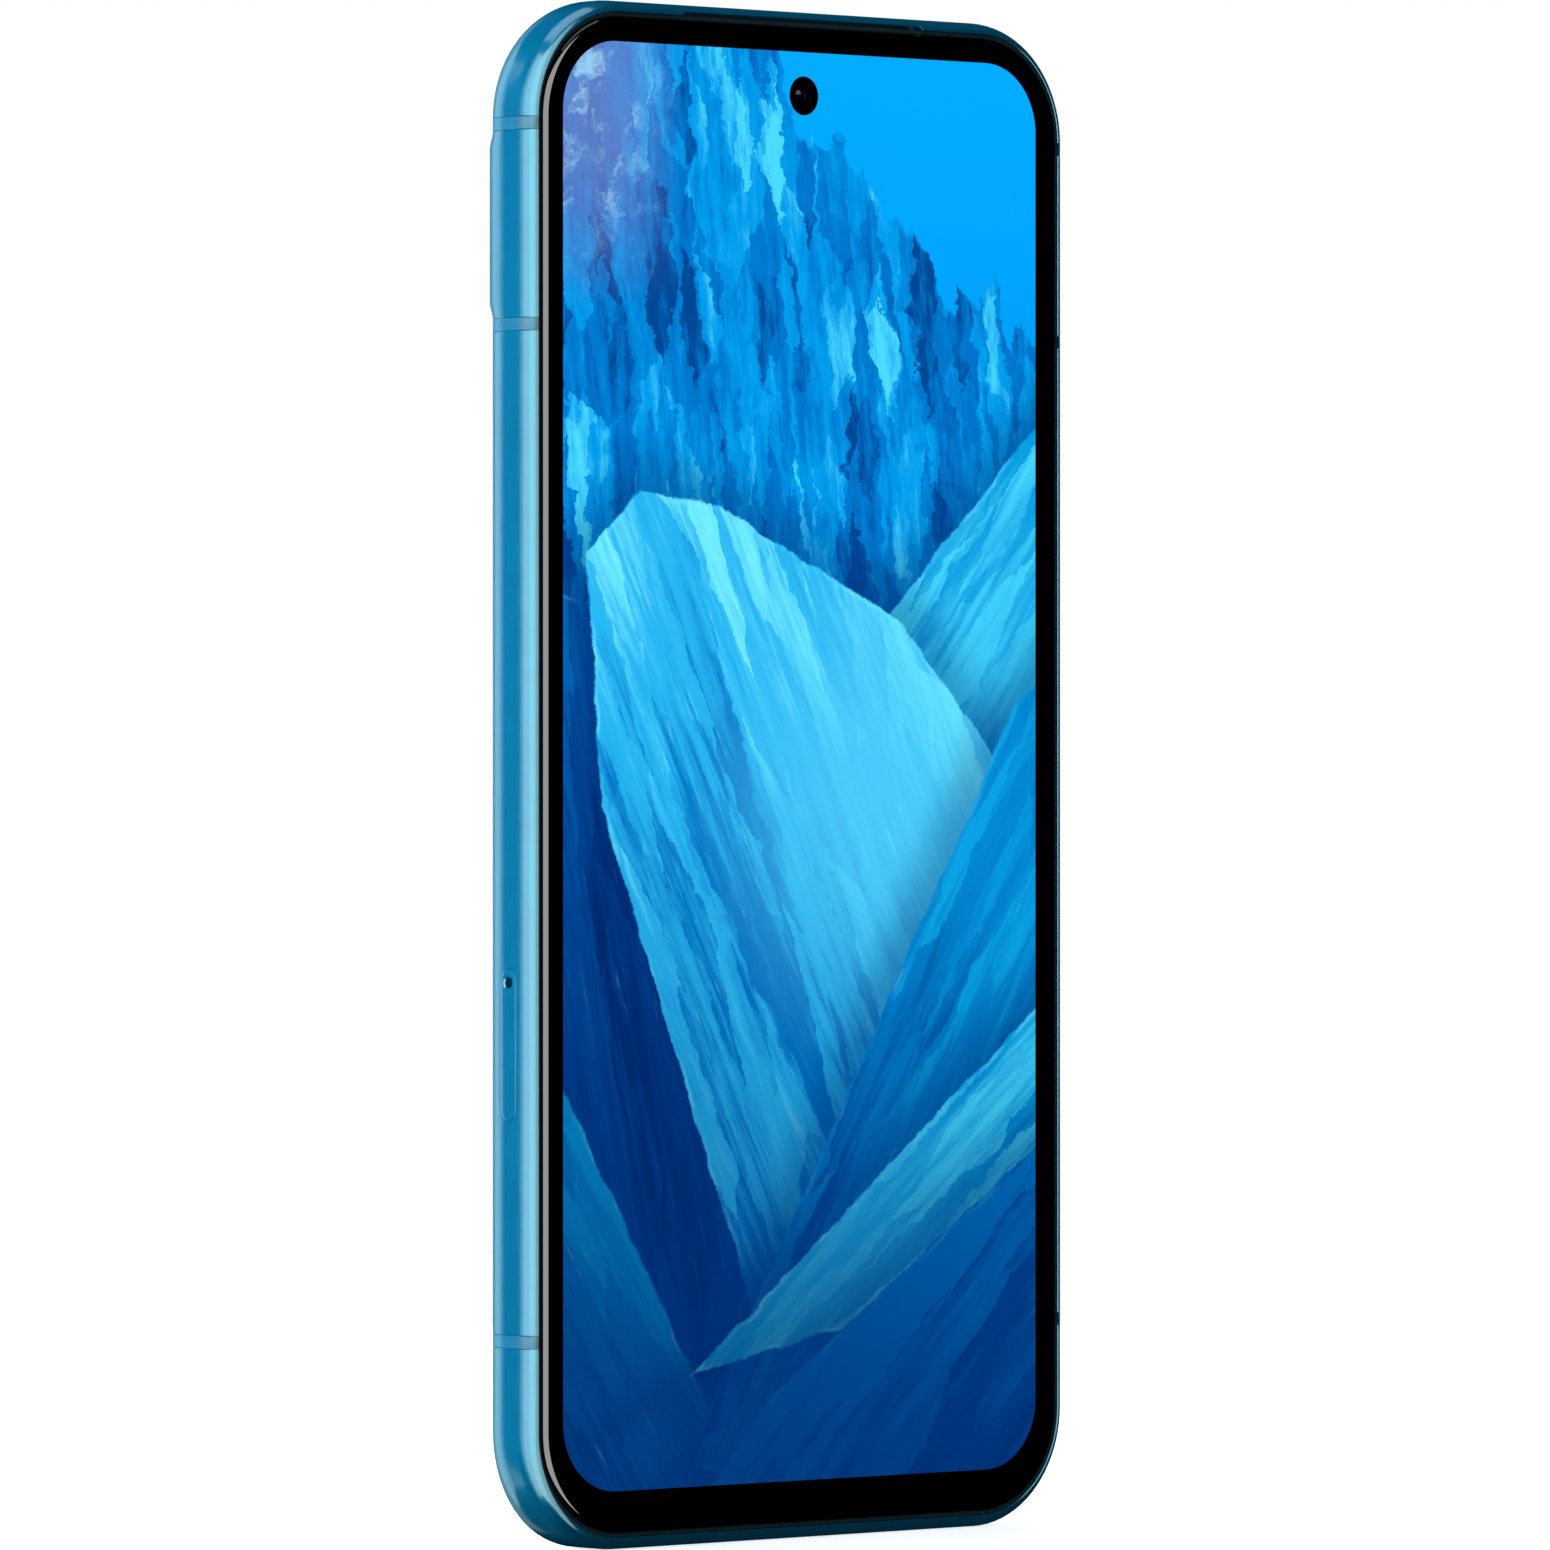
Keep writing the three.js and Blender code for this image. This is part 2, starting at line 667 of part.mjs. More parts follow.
function simTraySeal() {
  const x = [outsideX + 0.85, outsideX + 1.35];
  return cut(
    sidePill(x, SIDE_FEATURE_DEPTH, SIM.z, SIM.width - 0.1, SIM.length - 0.1),
    sidePill([-40, -30], SIDE_FEATURE_DEPTH, SIM.z, 1.56, 13.96),
  );
}

const LEVER_PIVOT = [-17.8, 51.4];
const ROD_R = 0.42;
const ROD_END = -18.5;

// The sheet-metal slot round the drawer, open at both ends, with the lever's post.
function simReader() {
  const tube = cut(
    box([-34.2, -19], [2.75, BOARD[0] - GAP], [trayZ[0] - 0.5, trayZ[1] + 0.5]),
    box([-40, -10], [3.0, 4.45], [trayZ[0] - 0.15, trayZ[1] + 0.15]),
  );
  const [px, pz] = LEVER_PIVOT;
  const foot = box([-19.6, px + 0.9], [4.5, BOARD[0] - GAP], [pz - 1, pz + 1]);
  const guides = [-32.5, -21].map((x) => {
    return box(span(x, 1.2), [2.75, BOARD[0] - GAP], [trayZ[1] + 0.4, SIM.pinHoleZ + 0.9]);
  });
  const rodBore = rodAlongX([-34, -19], SIDE_FEATURE_DEPTH, SIM.pinHoleZ, ROD_R + FIT, 12);
  const post = rodAlongDepth(px, pz, 0.4, [2.9, 4.6], 12);
  return cut(join(tube, foot, post, ...guides), rodBore);
}

function ejectLever() {
  const [px, pz] = LEVER_PIVOT;
  const arm = plate(px, pz, 1.3, 10.4, 0.6, [3.2, 4.1], 3);
  return cut(arm, rodAlongDepth(px, pz, 0.45, [2, 6], 16));
}

section(
  piece("sim_tray", simTray(), finishes.blueMetal),
  piece("sim_tray_seal", simTraySeal(), finishes.blackRubber),
  piece("sim_reader", simReader(), finishes.steel),
  piece(
    "sim_eject_rod",
    rodAlongX([-34.6, ROD_END], SIDE_FEATURE_DEPTH, SIM.pinHoleZ, ROD_R, 12),
    finishes.steel,
  ),
  piece("sim_eject_lever", ejectLever(), finishes.steel),
);

// ---------------------------------------------------------------- sound, port and vibration

function portShell() {
  const z = [PORT.mouth, PORT.back];
  const inner = [PORT.width - 2 * PORT.wall, PORT.height - 2 * PORT.wall];
  return cut(
    uprightPill(0, PORT_DEPTH, PORT.width, PORT.height, z, 6),
    uprightPill(0, PORT_DEPTH, ...inner, [-1, PORT.back + 1], 6),
  );
}

function portTongue() {
  const inner = [PORT.width - 2 * PORT.wall - 0.1, PORT.height - 2 * PORT.wall - 0.1];
  return join(
    uprightPill(0, PORT_DEPTH, ...inner, [6.2, PORT.back + 0.4], 6),
    box([-3.35, 3.35], span(PORT_DEPTH, 0.7), [1.5, 6.4]),
  );
}

// A fine wire cloth set a little way into its slot.
function grilleMesh(side) {
  const size = [GRILLE.length - 2 * GAP, GRILLE.height - 2 * GAP];
  return uprightPill(side * GRILLE.x, PORT_DEPTH, ...size, [0.7, 0.9]);
}

const HAPTIC = { x: [-31, -20.2], y: [2.4, 6.2], z: [9, 21.4], wall: 0.4, travel: 0.5 };

function hapticCase() {
  const { x, y, z, wall } = HAPTIC;
  const hollow = box([x[0] + wall, x[1] - wall], [y[0] + wall, y[1] + 1], [z[0] + wall, z[1] - wall]);
  return cut(box(x, y, z), hollow);
}

function hapticMass() {
  const { x, y, z, wall, travel } = HAPTIC;
  const side = wall + travel + 0.3;
  return box([x[0] + side, x[1] - side], [y[0] + wall + 0.2, y[1] - 0.2], [z[0] + 1, z[1] - 1]);
}

function loudspeaker() {
  const body = box([8.8, 40], [SHELF_BACK + 0.1, 6.9], [2.6, 22.8]);
  const rounded = slab([3.3, 2], [3.3, 8]);
  const cone = plate(20, 13.6, 15, 11, 3, [SHELF_BACK, SHELF_BACK + 0.5], 4);
  return cut(body.intersect(rounded), cone);
}

section(
  piece("usb_c_shell", portShell(), finishes.steel),
  piece("usb_c_tongue", portTongue(), finishes.blackPlastic),
  piece("loudspeaker_module", loudspeaker(), finishes.blackPlastic),
  piece(
    "loudspeaker_mesh",
    grilleMesh(sides.right),
    finishes.mesh,
  ),
  piece(
    "microphone_mesh",
    grilleMesh(sides.left),
    finishes.mesh,
  ),
  piece("bottom_microphone", box([-16.6, -13], [3.2, 4.3], [1.8, 4.4]), finishes.gold),
  piece("top_microphone", box([-20.2, -16.8], [3.6, 4.7], [148, 150.5]), finishes.gold),
  piece("earpiece_speaker", plate(11.5, 146, 14, 7, 1, [SHELF_BACK + 0.1, 5], 3), finishes.blackPlastic),
  piece(
    "earpiece_mesh",
    box([-15.8, 15.8], [0.95, 1.2], [HEIGHT - LIP_INSET + 0.02, HEIGHT - 0.9]),
    finishes.mesh,
  ),
  piece("haptic_motor_case", hapticCase(), finishes.steel),
  piece("haptic_motor_mass", hapticMass(), finishes.steel),
);

// ---------------------------------------------------------------- boards, battery and charging

const screwHoles = SCREWS.map(([x, z]) => rodAlongDepth(x, z, 0.85, [0, 12], 12));

const cameraClearance = [MAIN_CAMERA, WIDE_CAMERA].map(({ x, size }) => {
  return box(span(x, size + 0.6), [0, 12], span(barZ, size + 0.6));
});

function mainBoard() {
  const top = box([-40, 40], BOARD, [116, 160]);
  const leg = box([-40, -18.2], BOARD, [38, 117]);
  return cut(
    join(top, leg).intersect(slab([2.9, BOARD[0]], [2.9, BOARD[1]])),
    ...screwHoles,
    ...cameraClearance,
    box([-3.8, 3.8], [0, 12], [139.8, 160]),
    box([4, 19], [0, 12], [142, 160]),
  );
}

// A pressed lid over the chips, open on the side that faces the board.
function shieldCan([y0, y1], [z0, z1], openAtBack) {
  const x = [-32.8, -18.9];
  const hollow = openAtBack ? [y0 + 0.2, y1 + 1] : [y0 - 1, y1 - 0.2];
  const body = plate((x[0] + x[1]) / 2, (z0 + z1) / 2, x[1] - x[0], z1 - z0, 0.6, [y0, y1], 2);
  return cut(body, box([x[0] + 0.2, x[1] - 0.2], hollow, [z0 + 0.2, z1 - 0.2]));
}

function subBoard() {
  return cut(
    box([-19.6, 8.5], [4.9, 5.5], [4.8, 23.2]),
    box([-4.8, 4.8], [0, 12], [0, 9.1]),
    ...screwHoles,
  );
}

function bracket(x, z) {
  return cut(
    box(x, BRACKET, z).intersect(slab([3.7, BRACKET[0]], [3.7, BRACKET[1]])),
    ...screwHoles,
    ...cameraClearance,
  );
}

// A pan head with a cross recess, on a plain shank that points at the screen.
function screw() {
  const head = rodAlongDepth(0, 0, 1.3, [0, 0.42], 16);
  const shank = rodAlongDepth(0, 0, 0.62, [-4.3, 0.1], 12);
  const cross = [
    box([-0.8, 0.8], [0.2, 1], [-0.14, 0.14]),
    box([-0.14, 0.14], [0.2, 1], [-0.8, 0.8]),
  ];
  return cut(join(head, shank), ...cross);
}

function chargingCoil() {
  const ring = [7.48, 7.76];
  return cut(
    rodAlongDepth(0, 72, 22.5, ring, 40),
    rodAlongDepth(0, 72, 10, [7, 8], 28),
  );
}

const { x0, x1, z0, z1, front, back } = BATTERY;

section(
  piece("main_board", mainBoard(), finishes.board),
  piece("front_shield_can", shieldCan([3.0, BOARD[0] - GAP], [58.5, 113], true), finishes.steel),
  piece("rear_shield_can", shieldCan([BOARD[1] + GAP, 6.35], [41, 113], false), finishes.steel),
  piece("sub_board", subBoard(), finishes.board),
  piece(
    "battery",
    plate((x0 + x1) / 2, (z0 + z1) / 2, x1 - x0, z1 - z0, 1.2, [front, back], 3),
    finishes.wrap,
  ),
  piece(
    "battery_flex",
    join(box([-10, 8], [4.1, 5.1], [110.6, 114.6]), box([-2, 6], [5.0, 5.2], [112, 115.8])),
    finishes.film,
  ),
  piece("main_flex", box([14, 24], [7.04, 7.16], [23.6, 122.8]), finishes.film),
  piece("coil_shield", plate(0, 72, 49, 49, 3, [7.22, 7.42], 3), finishes.ferrite),
  piece("charging_coil", chargingCoil(), finishes.copper),
  piece("board_cover_upper", bracket([-40, 40], [116.4, 160]), finishes.blackPlastic),
  piece("board_cover_lower", bracket([-40, 8.5], [2, 23.4]), finishes.blackPlastic),
);

const fasteners = section();
SCREWS.forEach(([x, z], i) => {
  const mesh = piece(`screw_${i + 1}`, screw(), finishes.steel);
  mesh.position.set(x, BRACKET[1] + GAP, z);
  fasteners.add(mesh);
});

phone.position.y = -DEPTH / 2;
export default phone;
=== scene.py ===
"""A slab smartphone in full detail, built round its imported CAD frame.

Lengths are in millimetres until a mesh is made. Depths run along +Y from the front of the glass,
and insets run from the phone's widest outline towards its middle.
"""

import math

import bmesh
import bpy
from mathutils import Matrix, Vector


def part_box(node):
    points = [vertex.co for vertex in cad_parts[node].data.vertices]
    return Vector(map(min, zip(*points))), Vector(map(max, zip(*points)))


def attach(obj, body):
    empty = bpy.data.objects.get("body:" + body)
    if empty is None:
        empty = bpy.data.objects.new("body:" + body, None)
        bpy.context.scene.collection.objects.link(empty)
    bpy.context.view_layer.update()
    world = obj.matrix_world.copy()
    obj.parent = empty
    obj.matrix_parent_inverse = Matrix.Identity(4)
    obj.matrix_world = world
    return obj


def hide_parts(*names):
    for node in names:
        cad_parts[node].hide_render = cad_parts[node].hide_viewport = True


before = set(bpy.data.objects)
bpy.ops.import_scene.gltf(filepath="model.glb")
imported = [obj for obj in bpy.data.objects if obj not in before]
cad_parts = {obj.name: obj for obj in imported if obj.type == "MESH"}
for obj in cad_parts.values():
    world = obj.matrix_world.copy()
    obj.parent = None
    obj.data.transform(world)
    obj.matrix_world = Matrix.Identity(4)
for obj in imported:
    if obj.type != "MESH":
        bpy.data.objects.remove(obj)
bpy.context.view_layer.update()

MM = 0.001
ROOT = "phone_body"


def cad(node):
    """A CAD node's lowest and highest corner, in millimetres."""
    low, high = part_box(node)
    return low / MM, high / MM


def depths(node):
    """How far a CAD node's front and back lie behind the front of the glass."""
    low, high = cad(node)
    return low.y - FRONT, high.y - FRONT


def middle(node):
    low, high = cad(node)
    return (low + high) / 2


# ---------------------------------------------------------------- sizes of the shell

WIDTH = 2 * cad("frame")[1].x
HEIGHT = cad("frame")[1].z
FRONT = cad("cover_glass")[0].y
DEPTH = cad("back_cover")[1].y - FRONT
BAR_BOTTOM = cad("camera_bar")[0].z
BAR_TOP = cad("camera_bar")[1].z
BAR_RISE = cad("camera_bar")[1].y - FRONT - DEPTH

CORNER_R = 11.8
LIP_INSET = 1.21  # the wall of the pocket that the glass lies in
LIP_DEPTH = 0.35
FLAT = (2.6, 4.0)  # the flat band along the sides and the top
FOOT = (1.85, 6.1)  # the wider flat under the bottom edge
SEAM_DEPTH = 7.64  # where the frame meets the back cover
SHELF_INSET = 3.3
SHELF_FRONT, SHELF_BACK = 1.4, 2.35  # the shelf that the glass is bonded to
WALL_INSET = 1.3
BACK_FLOOR = DEPTH - 0.9  # the inner face of the back cover
GAP = 0.03
BAR_RAMP = 1.6  # the height over which the camera bar rises
BAR_SKIN = 0.12
BAR_SOFT = 0.05

GLASS_INSET = 1.64
GLASS_THICKNESS = cad("cover_glass")[1].y - FRONT
GLASS_ROUND = 0.5  # how far in the rounded edge reaches
GLASS_EDGE = 0.6  # how far back it reaches
PRINT_BOND = 0.004
GLASS_FLAT = GLASS_INSET + GLASS_ROUND  # where the rounded edge meets the flat pane
FACE_GAP = 0.01
PUPIL_R = 1.95

SCREEN_WIDTH = 64.0
SCREEN_HEIGHT = 142.2
SCREEN_CORNER = 6.9
PANEL_CORNER = 8.6
SCREEN_Z = HEIGHT / 2 + 0.83
PUPIL_Z = middle("front_camera_lens").z

BREAK_CORE = ((1.21, 1.34), (0.9, 2.2), (0.9, 4.4), (2.05, SEAM_DEPTH))  # a slit's floor: inset and depth

SIDE_SIGNS = {"left": -1, "right": 1}
BREAK_HEIGHTS = {place: middle(f"antenna_break_left_{place}").z for place in ("upper", "middle", "lower")}
BREAK_HALF = 0.65
BREAK_EDGE = 0.04  # how far a groove runs out on each side of a break
BREAK_GROOVE = 0.03
BREAK_SLANT = 0.015


def smoothstep(share):
    share = min(1.0, max(0.0, share))
    return share * share * (3 - 2 * share)


def bar_share(z):
    """How far the camera bar has risen at a height, from 0 to 1."""
    return smoothstep((z - BAR_BOTTOM) / BAR_RAMP) * smoothstep((BAR_TOP - z) / BAR_RAMP)


def surface_inset(depth, flat, rise=0.0):
    """How far the shell stands in at a depth: an elliptic front edge, a flat, and a round back edge."""
    start, end = flat
    if depth < start:
        share = min(1.0, (start - depth) / (start - LIP_DEPTH))
        return LIP_INSET * (1 - math.sqrt(1 - share**2))
    r = DEPTH - end + rise
    return r - math.sqrt(max(0.0, r**2 - max(0.0, depth - end) ** 2))


# ---------------------------------------------------------------- outlines and meshes


def spread(start, end, step):
    """Numbers from start to end in equal steps of at most a length."""
    count = max(1, math.ceil(abs(end - start) / step))
    return [start + (end - start) * i / count for i in range(count + 1)]


def stations(side_stops=None, end_stops=None, corner_steps=16):
    """Places round the outline, anticlockwise from the right side's foot.

    Each is (centre x, centre z, angle, tag): the outline lies at a radius from its centre.
    """
    cx = WIDTH / 2 - CORNER_R
    z0, z1 = CORNER_R, HEIGHT - CORNER_R
    side_stops = side_stops or [(z, "") for z in spread(z0, z1, 8)]
    end_stops = end_stops or [(x, "") for x in spread(-cx, cx, 8)]
    corner = [math.pi / 2 * i / corner_steps for i in range(1, corner_steps)]
    places = [(cx, z, 0.0, tag) for z, tag in side_stops]
    places += [(cx, z1, a, "") for a in corner]
    places += [(x, z1, math.pi / 2, tag) for x, tag in reversed(end_stops)]
    places += [(-cx, z1, math.pi / 2 + a, "") for a in corner]
    places += [(-cx, z, math.pi, tag) for z, tag in reversed(side_stops)]
    places += [(-cx, z0, math.pi + a, "") for a in corner]
    places += [(x, z0, 1.5 * math.pi, "") for x, tag in end_stops]
    places += [(cx, z0, 1.5 * math.pi + a, "") for a in corner]
    return places


def on_outline(place, inset, depth):
    cx, cz, angle, _ = place
    r = CORNER_R - inset
    return (cx + r * math.cos(angle), FRONT + depth, cz + r * math.sin(angle))


def skin_inset(place, depth):
    """The shell's inset at a place: the bottom edge and the camera bar have profiles of their own."""
    _, cz, angle, _ = place
    upright = abs(math.sin(angle)) < 1e-6
    side = surface_inset(depth, FLAT, BAR_RISE * bar_share(cz) if upright else 0.0)
    downward = max(0.0, -math.sin(angle)) ** 2
    return side + (surface_inset(depth, FOOT) - side) * downward


def link(name, data):
    obj = bpy.data.objects.new(name, data)
    bpy.context.scene.collection.objects.link(obj)
    return obj


def make(name, points, faces):
    """A mesh object in millimetres, with its faces turned outwards; piece() brings it to metres."""
    mesh = bpy.data.meshes.new(name)
    mesh.from_pydata([tuple(p) for p in points], [], faces)
    build = bmesh.new()
    build.from_mesh(mesh)
    bmesh.ops.remove_doubles(build, verts=build.verts, dist=1e-5)
    bmesh.ops.recalc_face_normals(build, faces=build.faces)
    build.to_mesh(mesh)
    build.free()
    return link(name, mesh)


def bands(rings, first=0, closed=False):
    """Four-sided faces between rings of equally many points, numbered on from the first point."""
    count = len(rings[0])
    faces = []
    for k in range(len(rings) if closed else len(rings) - 1):
        a = first + k * count
        b = first + (k + 1) % len(rings) * count
        for i in range(count):
            j = (i + 1) % count
            faces.append((a + i, a + j, b + j, b + i))
    return faces


def loft(name, rings, closed=False):
    """Bands between rings of points; the ends are capped, or joined to each other."""
    count = len(rings[0])
    points = [p for ring in rings for p in ring]
    faces = bands(rings, closed=closed)
    if not closed:
        faces.append(tuple(range(count)))
        faces.append(tuple(range(len(points) - count, len(points))))
    return make(name, points, faces)


def slab(name, profile, places):
    """A solid whose outline follows the phone's, through pairs of inset and depth."""
    return loft(name, [[on_outline(p, inset, depth) for p in places] for inset, depth in profile])


def ring_along(name, section):
    """A closed band round the phone's outline, whose section is pairs of inset and depth."""
    places = stations(corner_steps=24)
    rings = [[on_outline(p, inset, depth) for p in places] for inset, depth in section]
    return loft(name, rings, closed=True)


def stadium(half_length, half_width, steps=12):
    """Points round a bar with round ends, as (along, across)."""
    r = min(half_width, half_length)
    straight = half_length - r
    points = []
    for end in (1, -1):
        for i in range(steps + 1):
            a = math.pi * (i / steps - 0.5) + (0 if end > 0 else math.pi)
            points.append((end * straight + r * math.cos(a), r * math.sin(a)))
    return points


def rounded(half_length, half_width, r, steps=6):
    """Points round a rectangle with round corners, as (along, across)."""
    points = []
    corners = ((1, 1), (-1, 1), (-1, -1), (1, -1))
    for quarter, (sx, sy) in enumerate(corners):
        for i in range(steps + 1):
            a = math.pi / 2 * (quarter + i / steps)
            points.append(
                (sx * (half_length - r) + r * math.cos(a), sy * (half_width - r) + r * math.sin(a))
            )
    return points


def circle(r, steps):
    turns = [2 * math.pi * i / steps for i in range(steps)]
    return [(r * math.cos(a), r * math.sin(a)) for a in turns]


def shrinking(shape, sizes, *rest, slack=0.0):
    """An outline as a function of its inset, with a clearance round it."""
    return lambda inset: shape(*(size + slack - inset for size in sizes), *rest)


def along_x(centre, outline, level):
    """An outline laid across the side of the phone, at one x."""
    return [(level, centre[0] + across, centre[1] + along) for along, across in outline]


def along_y(centre, outline, level):
    """An outline that faces front and back, at one depth."""
    return [(centre[0] + along, FRONT + level, centre[1] + across) for along, across in outline]


def along_z(centre, outline, level):
    """An outline laid across the top or bottom edge, at one height."""
    return [(centre[0] + along, centre[1] + across, level) for along, across in outline]


def stack(name, lay, centre, outline_of, levels):
    """A solid through levels of (position, inset), each an outline shrunk by its inset."""
    return loft(name, [lay(centre, outline_of(inset), level) for level, inset in levels])


def quarter(steps, first=0):
    """Angles in equal steps of a quarter turn."""
    return [math.pi / 2 * i / steps for i in range(first, steps + 1)]


def crown(top, r, steps, first):
    """Levels of (position, inset) that round an edge off into a flat top."""
    return [(top - r * (1 - math.sin(a)), r * (1 - math.cos(a))) for a in quarter(steps, first)]


def dome(r, crest, sag, steps):
    """Pairs of radius and depth from near a dome's rim to its crest."""
    shares = [1 - i / steps for i in range(1, steps + 1)]
    return [(r * share, crest + sag * share**2) for share in shares]


def lathe(name, x, z, profile, steps=64):
    """A turned solid about a line along depth, through pairs of radius and depth."""
    axis = 1e-4
    rings = [along_y((x, z), circle(max(r, axis), steps), depth) for r, depth in profile]
    return loft(name, rings)


def boolean(target, tool, operation="DIFFERENCE"):
    """Cuts one mesh by another, or joins them, and leaves a plain mesh."""
    modifier = target.modifiers.new("boolean", "BOOLEAN")
    modifier.operation = operation
    modifier.solver = "EXACT"
    modifier.use_self = False
    modifier.object = tool
    graph = bpy.context.evaluated_depsgraph_get()
    made = bpy.data.meshes.new_from_object(target.evaluated_get(graph))
    target.modifiers.clear()
    target.data = made
    bpy.data.objects.remove(tool)
    return target


def cut(target, *tools):
    for tool in tools:
        boolean(target, tool)
    return target


def fuse(target, *others):
    for other in others:
        boolean(target, other, "UNION")
    return target


def merge(target, *others):
    """Puts separate closed shells into one mesh."""
    build = bmesh.new()
    for obj in (target, *others):
        build.from_mesh(obj.data)
    build.to_mesh(target.data)
    build.free()
    for obj in others:
        bpy.data.objects.remove(obj)
    return target


def shade(obj, angle):
    """Smooth shading, with creases where faces meet at more than an angle."""
    mesh = obj.data
    mesh.polygons.foreach_set("use_smooth", [True] * len(mesh.polygons))
    mesh.set_sharp_from_angle(angle=math.radians(angle))


def coat(obj, material):
    obj.data.materials.clear()
    obj.data.materials.append(material)


def piece(obj, slot, replaces=(), body=ROOT, angle=32, material=None):
    """Finishes a piece: scale, shading, material, the body it rides on, and hiding the CAD parts it replaces.
    """
    obj.data.transform(Matrix.Scale(MM, 4))
    shade(obj, angle)
    coat(obj, material or FINISHES[slot])
    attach(obj, body)
    if replaces:
        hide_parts(*replaces)
    return obj


# ---------------------------------------------------------------- materials


def srgb(r, g, b):
    """A linear colour from 0 to 255 display values."""
    levels = [c / 255 for c in (r, g, b)]
    return [c / 12.92 if c <= 0.04045 else ((c + 0.055) / 1.055) ** 2.4 for c in levels] + [1.0]


class Finish:
    """A Principled material, and short calls that add nodes and return their outputs."""

    def __init__(self, name, **constants):
        self.material = bpy.data.materials.new(name)
        self.material.use_nodes = True
        self.tree = self.material.node_tree
        self.shader = self.tree.nodes["Principled BSDF"]
        for socket, value in constants.items():
            self.shader.inputs[socket.replace("_", " ")].default_value = value
        coordinates = self.tree.nodes.new("ShaderNodeTexCoord")
        self.point = self.scale(coordinates.outputs["Object"], 1 / MM)

    def wire(self, value, socket):
        if isinstance(value, bpy.types.NodeSocket):
            self.tree.links.new(value, socket)
        else:
            socket.default_value = value

    def set(self, socket, value):
        self.wire(value, self.shader.inputs[socket])

    def node(self, kind, inputs, output=0, **settings):
        """A new node with its settings and inputs; returns one of its outputs."""
        made = self.tree.nodes.new(f"ShaderNode{kind}")
        for name, value in settings.items():
            setattr(made, name, value)
        for socket, value in inputs.items():
            self.wire(value, made.inputs[socket])
        return made.outputs[output]

    def math(self, operation, a, b=0.0):
        return self.node("Math", {0: a, 1: b}, operation=operation)

    def plus(self, a, b):
        return self.math("ADD", a, b)

    def times(self, a, b):
        return self.math("MULTIPLY", a, b)

    def weigh(self, *terms):
        """The sum of values, each times its weight."""
        total = None
        for value, weight in terms:
            term = self.times(value, weight)
            total = term if total is None else self.plus(total, term)
        return total

    def vector(self, operation, a, b=(0.0, 0.0, 0.0)):
        output = "Value" if operation in ("DOT_PRODUCT", "LENGTH") else "Vector"
        return self.node("VectorMath", {0: a, 1: b}, output, operation=operation)

    def scale(self, vector, factor):
        return self.node("VectorMath", {0: vector, "Scale": factor}, "Vector", operation="SCALE")

    def split(self, vector):
        """The three coordinates of a vector."""
        node = self.tree.nodes.new("ShaderNodeSeparateXYZ")
        self.wire(vector, node.inputs[0])
        return node.outputs

    def noise(self, vector, scale, detail=3.0, roughness=0.5, output="Fac"):
        inputs = {"Vector": vector, "Scale": scale, "Detail": detail, "Roughness": roughness}
        return self.node("TexNoise", inputs, output)

    def cells(self, vector, scale, feature="F1", output="Distance"):
        return self.node("TexVoronoi", {"Vector": vector, "Scale": scale}, output, feature=feature)

    def step(self, value, low, high, out_low=0.0, out_high=1.0):
        """A value eased from one range into another."""
        inputs = {"Value": value, "From Min": low, "From Max": high, "To Min": out_low, "To Max": out_high}
        return self.node("MapRange", inputs, "Result", interpolation_type="SMOOTHSTEP")

    def mix(self, share, a, b, blend="MIX"):
        return self.node("Mix", {0: share, 6: a, 7: b}, 2, data_type="RGBA", blend_type=blend)

    def ramp(self, value, *stops):
        """A colour ramp through pairs of position and colour."""
        node = self.tree.nodes.new("ShaderNodeValToRGB")
        node.color_ramp.interpolation = "EASE"
        elements = node.color_ramp.elements
        while len(elements) < len(stops):
            elements.new(0.5)
        for element, (position, color) in zip(elements, stops):
            element.position = position
            element.color = color
        self.wire(value, node.inputs[0])
        return node.outputs["Color"]

    def stretch(self, vector, factors, turn=(0.0, 0.0, 0.0)):
        """Coordinates turned by degrees and then scaled along each axis."""
        turned = [math.radians(a) for a in turn]
        inputs = {"Vector": vector, "Rotation": turned, "Scale": [1 / f for f in factors]}
        return self.node("Mapping", inputs, "Vector", vector_type="TEXTURE")

    def bump(self, height, distance_mm):
        inputs = {"Height": height, "Distance": distance_mm * MM, "Strength": 1.0}
        self.set("Normal", self.node("Bump", inputs, "Normal"))


def varied(name, dark, light, scale, rough, relief, **constants):
    """A material whose colour, roughness and fine relief drift together over a surface."""
    f = Finish(name, **constants)
    drift = f.noise(f.point, scale, 4.0)
    f.set("Base Color", f.ramp(drift, (0.3, dark), (0.7, light)))
    fine = f.noise(f.point, scale * 9, 2.0)
    f.set("Roughness", f.step(fine, 0.25, 0.75, *rough))
    f.bump(fine, relief)
    return f.material


def anodised():
    """Satin blue aluminium: a dyed, softly metallic body under the white gloss of its sealed surface."""
    return varied("anodised_blue", [0.0002, 0.232, 0.480, 1], [0.0004, 0.248, 0.515, 1], 0.35, (0.28, 0.34),
                  0.0012, Metallic=0.3, Specular_IOR_Level=0.0, Coat_Weight=0.9, Coat_Roughness=0.13,
                  Coat_IOR=1.95)


def break_plastic():
    return varied("antenna_break_blue", [0.0006, 0.220, 0.44, 1], [0.0008, 0.240, 0.48, 1], 0.6,
                  (0.5, 0.58), 0.001, Specular_IOR_Level=0.0, Coat_Weight=0.8, Coat_Roughness=0.24,
                  Coat_IOR=1.8)


